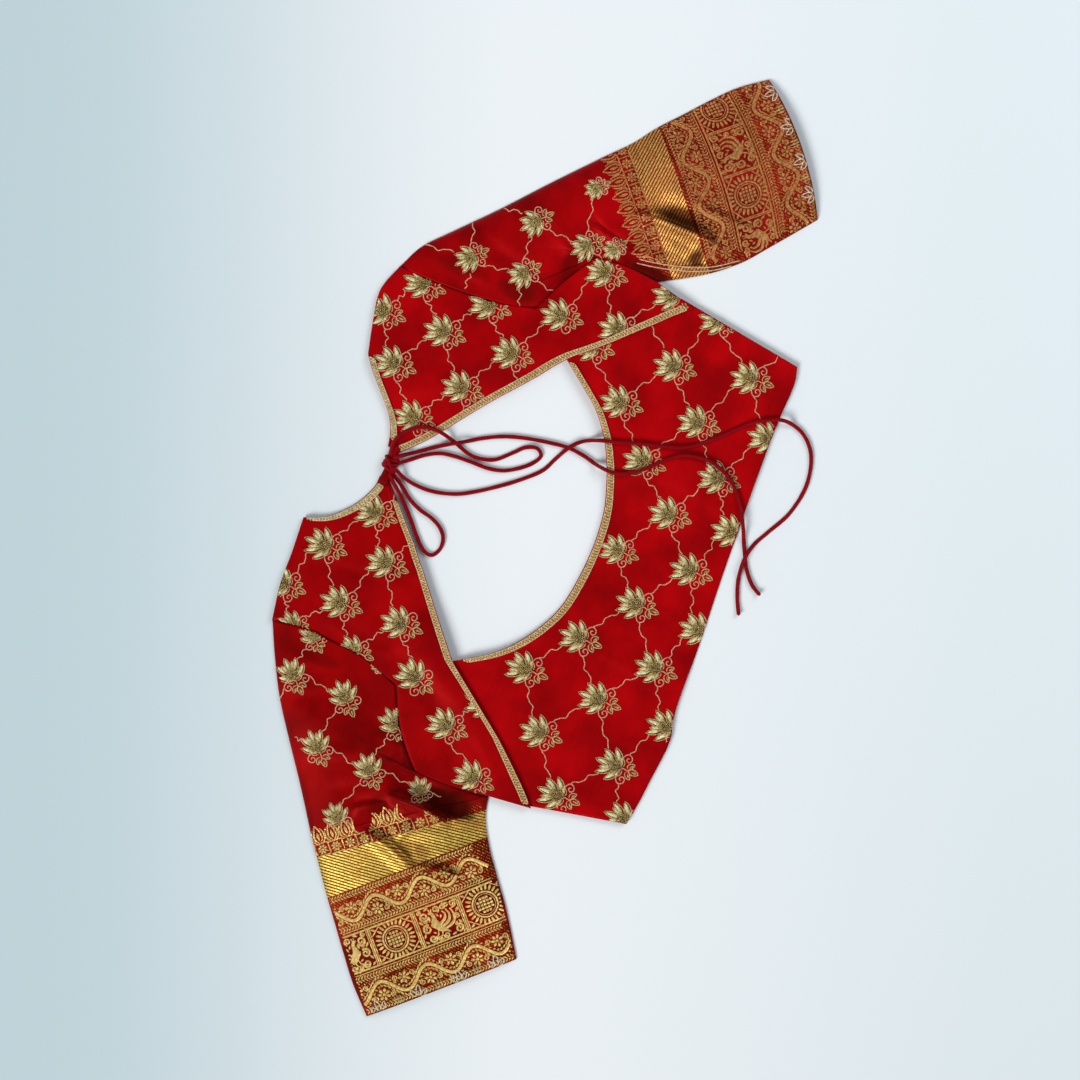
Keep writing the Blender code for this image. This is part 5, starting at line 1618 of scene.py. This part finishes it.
def build_binding():
    """Two cords side by side along the right sleeve's fold, over the gold band."""
    heights = over("sleeve_right", "sleeve_border_right")
    route = smooth_route(BINDING, 60)
    pair = np.stack([route, route + [-3.6, 0.4]])
    binding = kept(*tubes(lie(pair, heights, 0.35), 0.55, 5))
    on_cloth["sleeve_border_right"].append(
        make_piece("binding_right", *binding, BRAID_EDGE, "brocade"))


for word, axes, squares, zari, sprigs in [
        ("left", AXES_LEFT, SQUARES_LEFT, ZARI_LEFT_LIT, SPRIGS_LEFT),
        ("right", AXES_RIGHT, SQUARES_RIGHT, ZARI_RIGHT_SHADED, SPRIGS_RIGHT)]:
    build_figures(word, axes, squares, zari)
    build_sprigs(word, axes, sprigs)
build_binding()


# Turns of cord over the knot: where along it, lean, half width and rise
KNOT_TURNS = [(-3.6, 1.6, 5.2, 3.6), (0.2, -1.2, 5.6, 4.4), (3.8, -2.2, 5.2, 3.8),
              (0.6, 5.2, 5.4, 5.6)]


def build_knot():
    """The gathered strap ends as a pleated lump, whose half widths are a cosine wider at both ends
    with waves round it, and turns of cord over it, each half an ellipse on a slant."""
    x0, y0, z0 = KNOT_CENTRE
    along, turn = np.meshgrid(np.linspace(-1, 1, 34), np.arange(48) * np.pi / 24, indexing="ij")
    close = np.sqrt(np.clip(1 - np.abs(along) ** 10, 0.0004, 1))
    pleats = 1 + 0.06 * np.sin(7 * turn + 1.5 * along) + 0.03 * np.sin(9 * along)
    across_y = (3.5 + 2.2 * along**2) * close * pleats
    points = np.stack([x0 + 18.5 * along, y0 + 1.2 * along + across_y * np.cos(turn),
                       np.maximum(z0 - 0.2 + 2.9 * close * pleats * np.sin(turn), 0.5)], axis=-1)
    flat, faces = points.reshape(-1, 3), grid_faces(34, 48, wrap=True)
    make_piece("knot_lump", flat, outward(flat, faces), flat[:, :2], GATHERED_SILK_SHADED, "tie_cord")
    parts = []
    angle = np.linspace(-0.25, np.pi + 0.25, 30)
    for at, lean, reach, rise in KNOT_TURNS:
        path = np.stack([x0 + at + lean * np.cos(angle), y0 + reach * np.cos(angle),
                         z0 + rise * np.sin(angle) - 0.2], axis=-1)
        points, faces, uv = tubes(path[None], CORD_DIAMETER * 0.46, 10)
        parts.append((points, outward(points, faces), uv * [1, 2]))
    make_piece("knot_cords", *joined(*parts), CRIMSON_CORD, "tie_cord", ["knot"])


build_knot()


def build_floor():
    """A plain pale surface under the garment."""
    corners = np.array([[-1, -1, 0], [1, -1, 0], [1, 1, 0], [-1, 1, 0]]) * FLOOR_REACH * MM
    mesh = bpy.data.meshes.new("surface")
    mesh.from_pydata(corners.tolist(), [], [(0, 1, 2, 3)])
    mesh.materials.append(table_top())
    floor = bpy.data.objects.new("surface", mesh)
    bpy.context.scene.collection.objects.link(floor)


def build_light(name, towards, distance, size, power, colour):
    """A square soft light that looks at the garment's middle."""
    data = bpy.data.lights.new(name, "AREA")
    data.size, data.energy, data.color = size, power, colour
    lamp = bpy.data.objects.new(name, data)
    out = Vector(towards).normalized()
    lamp.location = out * distance
    lamp.rotation_euler = out.to_track_quat("Z", "Y").to_euler()
    bpy.context.scene.collection.objects.link(lamp)


def build_world(strength, colour):
    """Even pale light from all round."""
    world = bpy.data.worlds.new("room")
    bpy.context.scene.world = world
    world.use_nodes = True
    back = world.node_tree.nodes["Background"]
    back.inputs["Color"].default_value = rgb(*colour)
    back.inputs["Strength"].default_value = strength


build_floor()
build_light("key", towards=(-0.86, 0.32, 0.92), distance=14.0, size=6.5, power=1760,
            colour=(1.0, 0.985, 0.96))
build_light("fill", towards=(0.75, -0.5, 0.95), distance=2.4, size=1.3, power=21,
            colour=(0.97, 0.99, 1.0))
build_world(strength=0.26, colour=(0.92, 0.97, 1.0))
bpy.context.scene.view_settings.view_transform = "Standard"
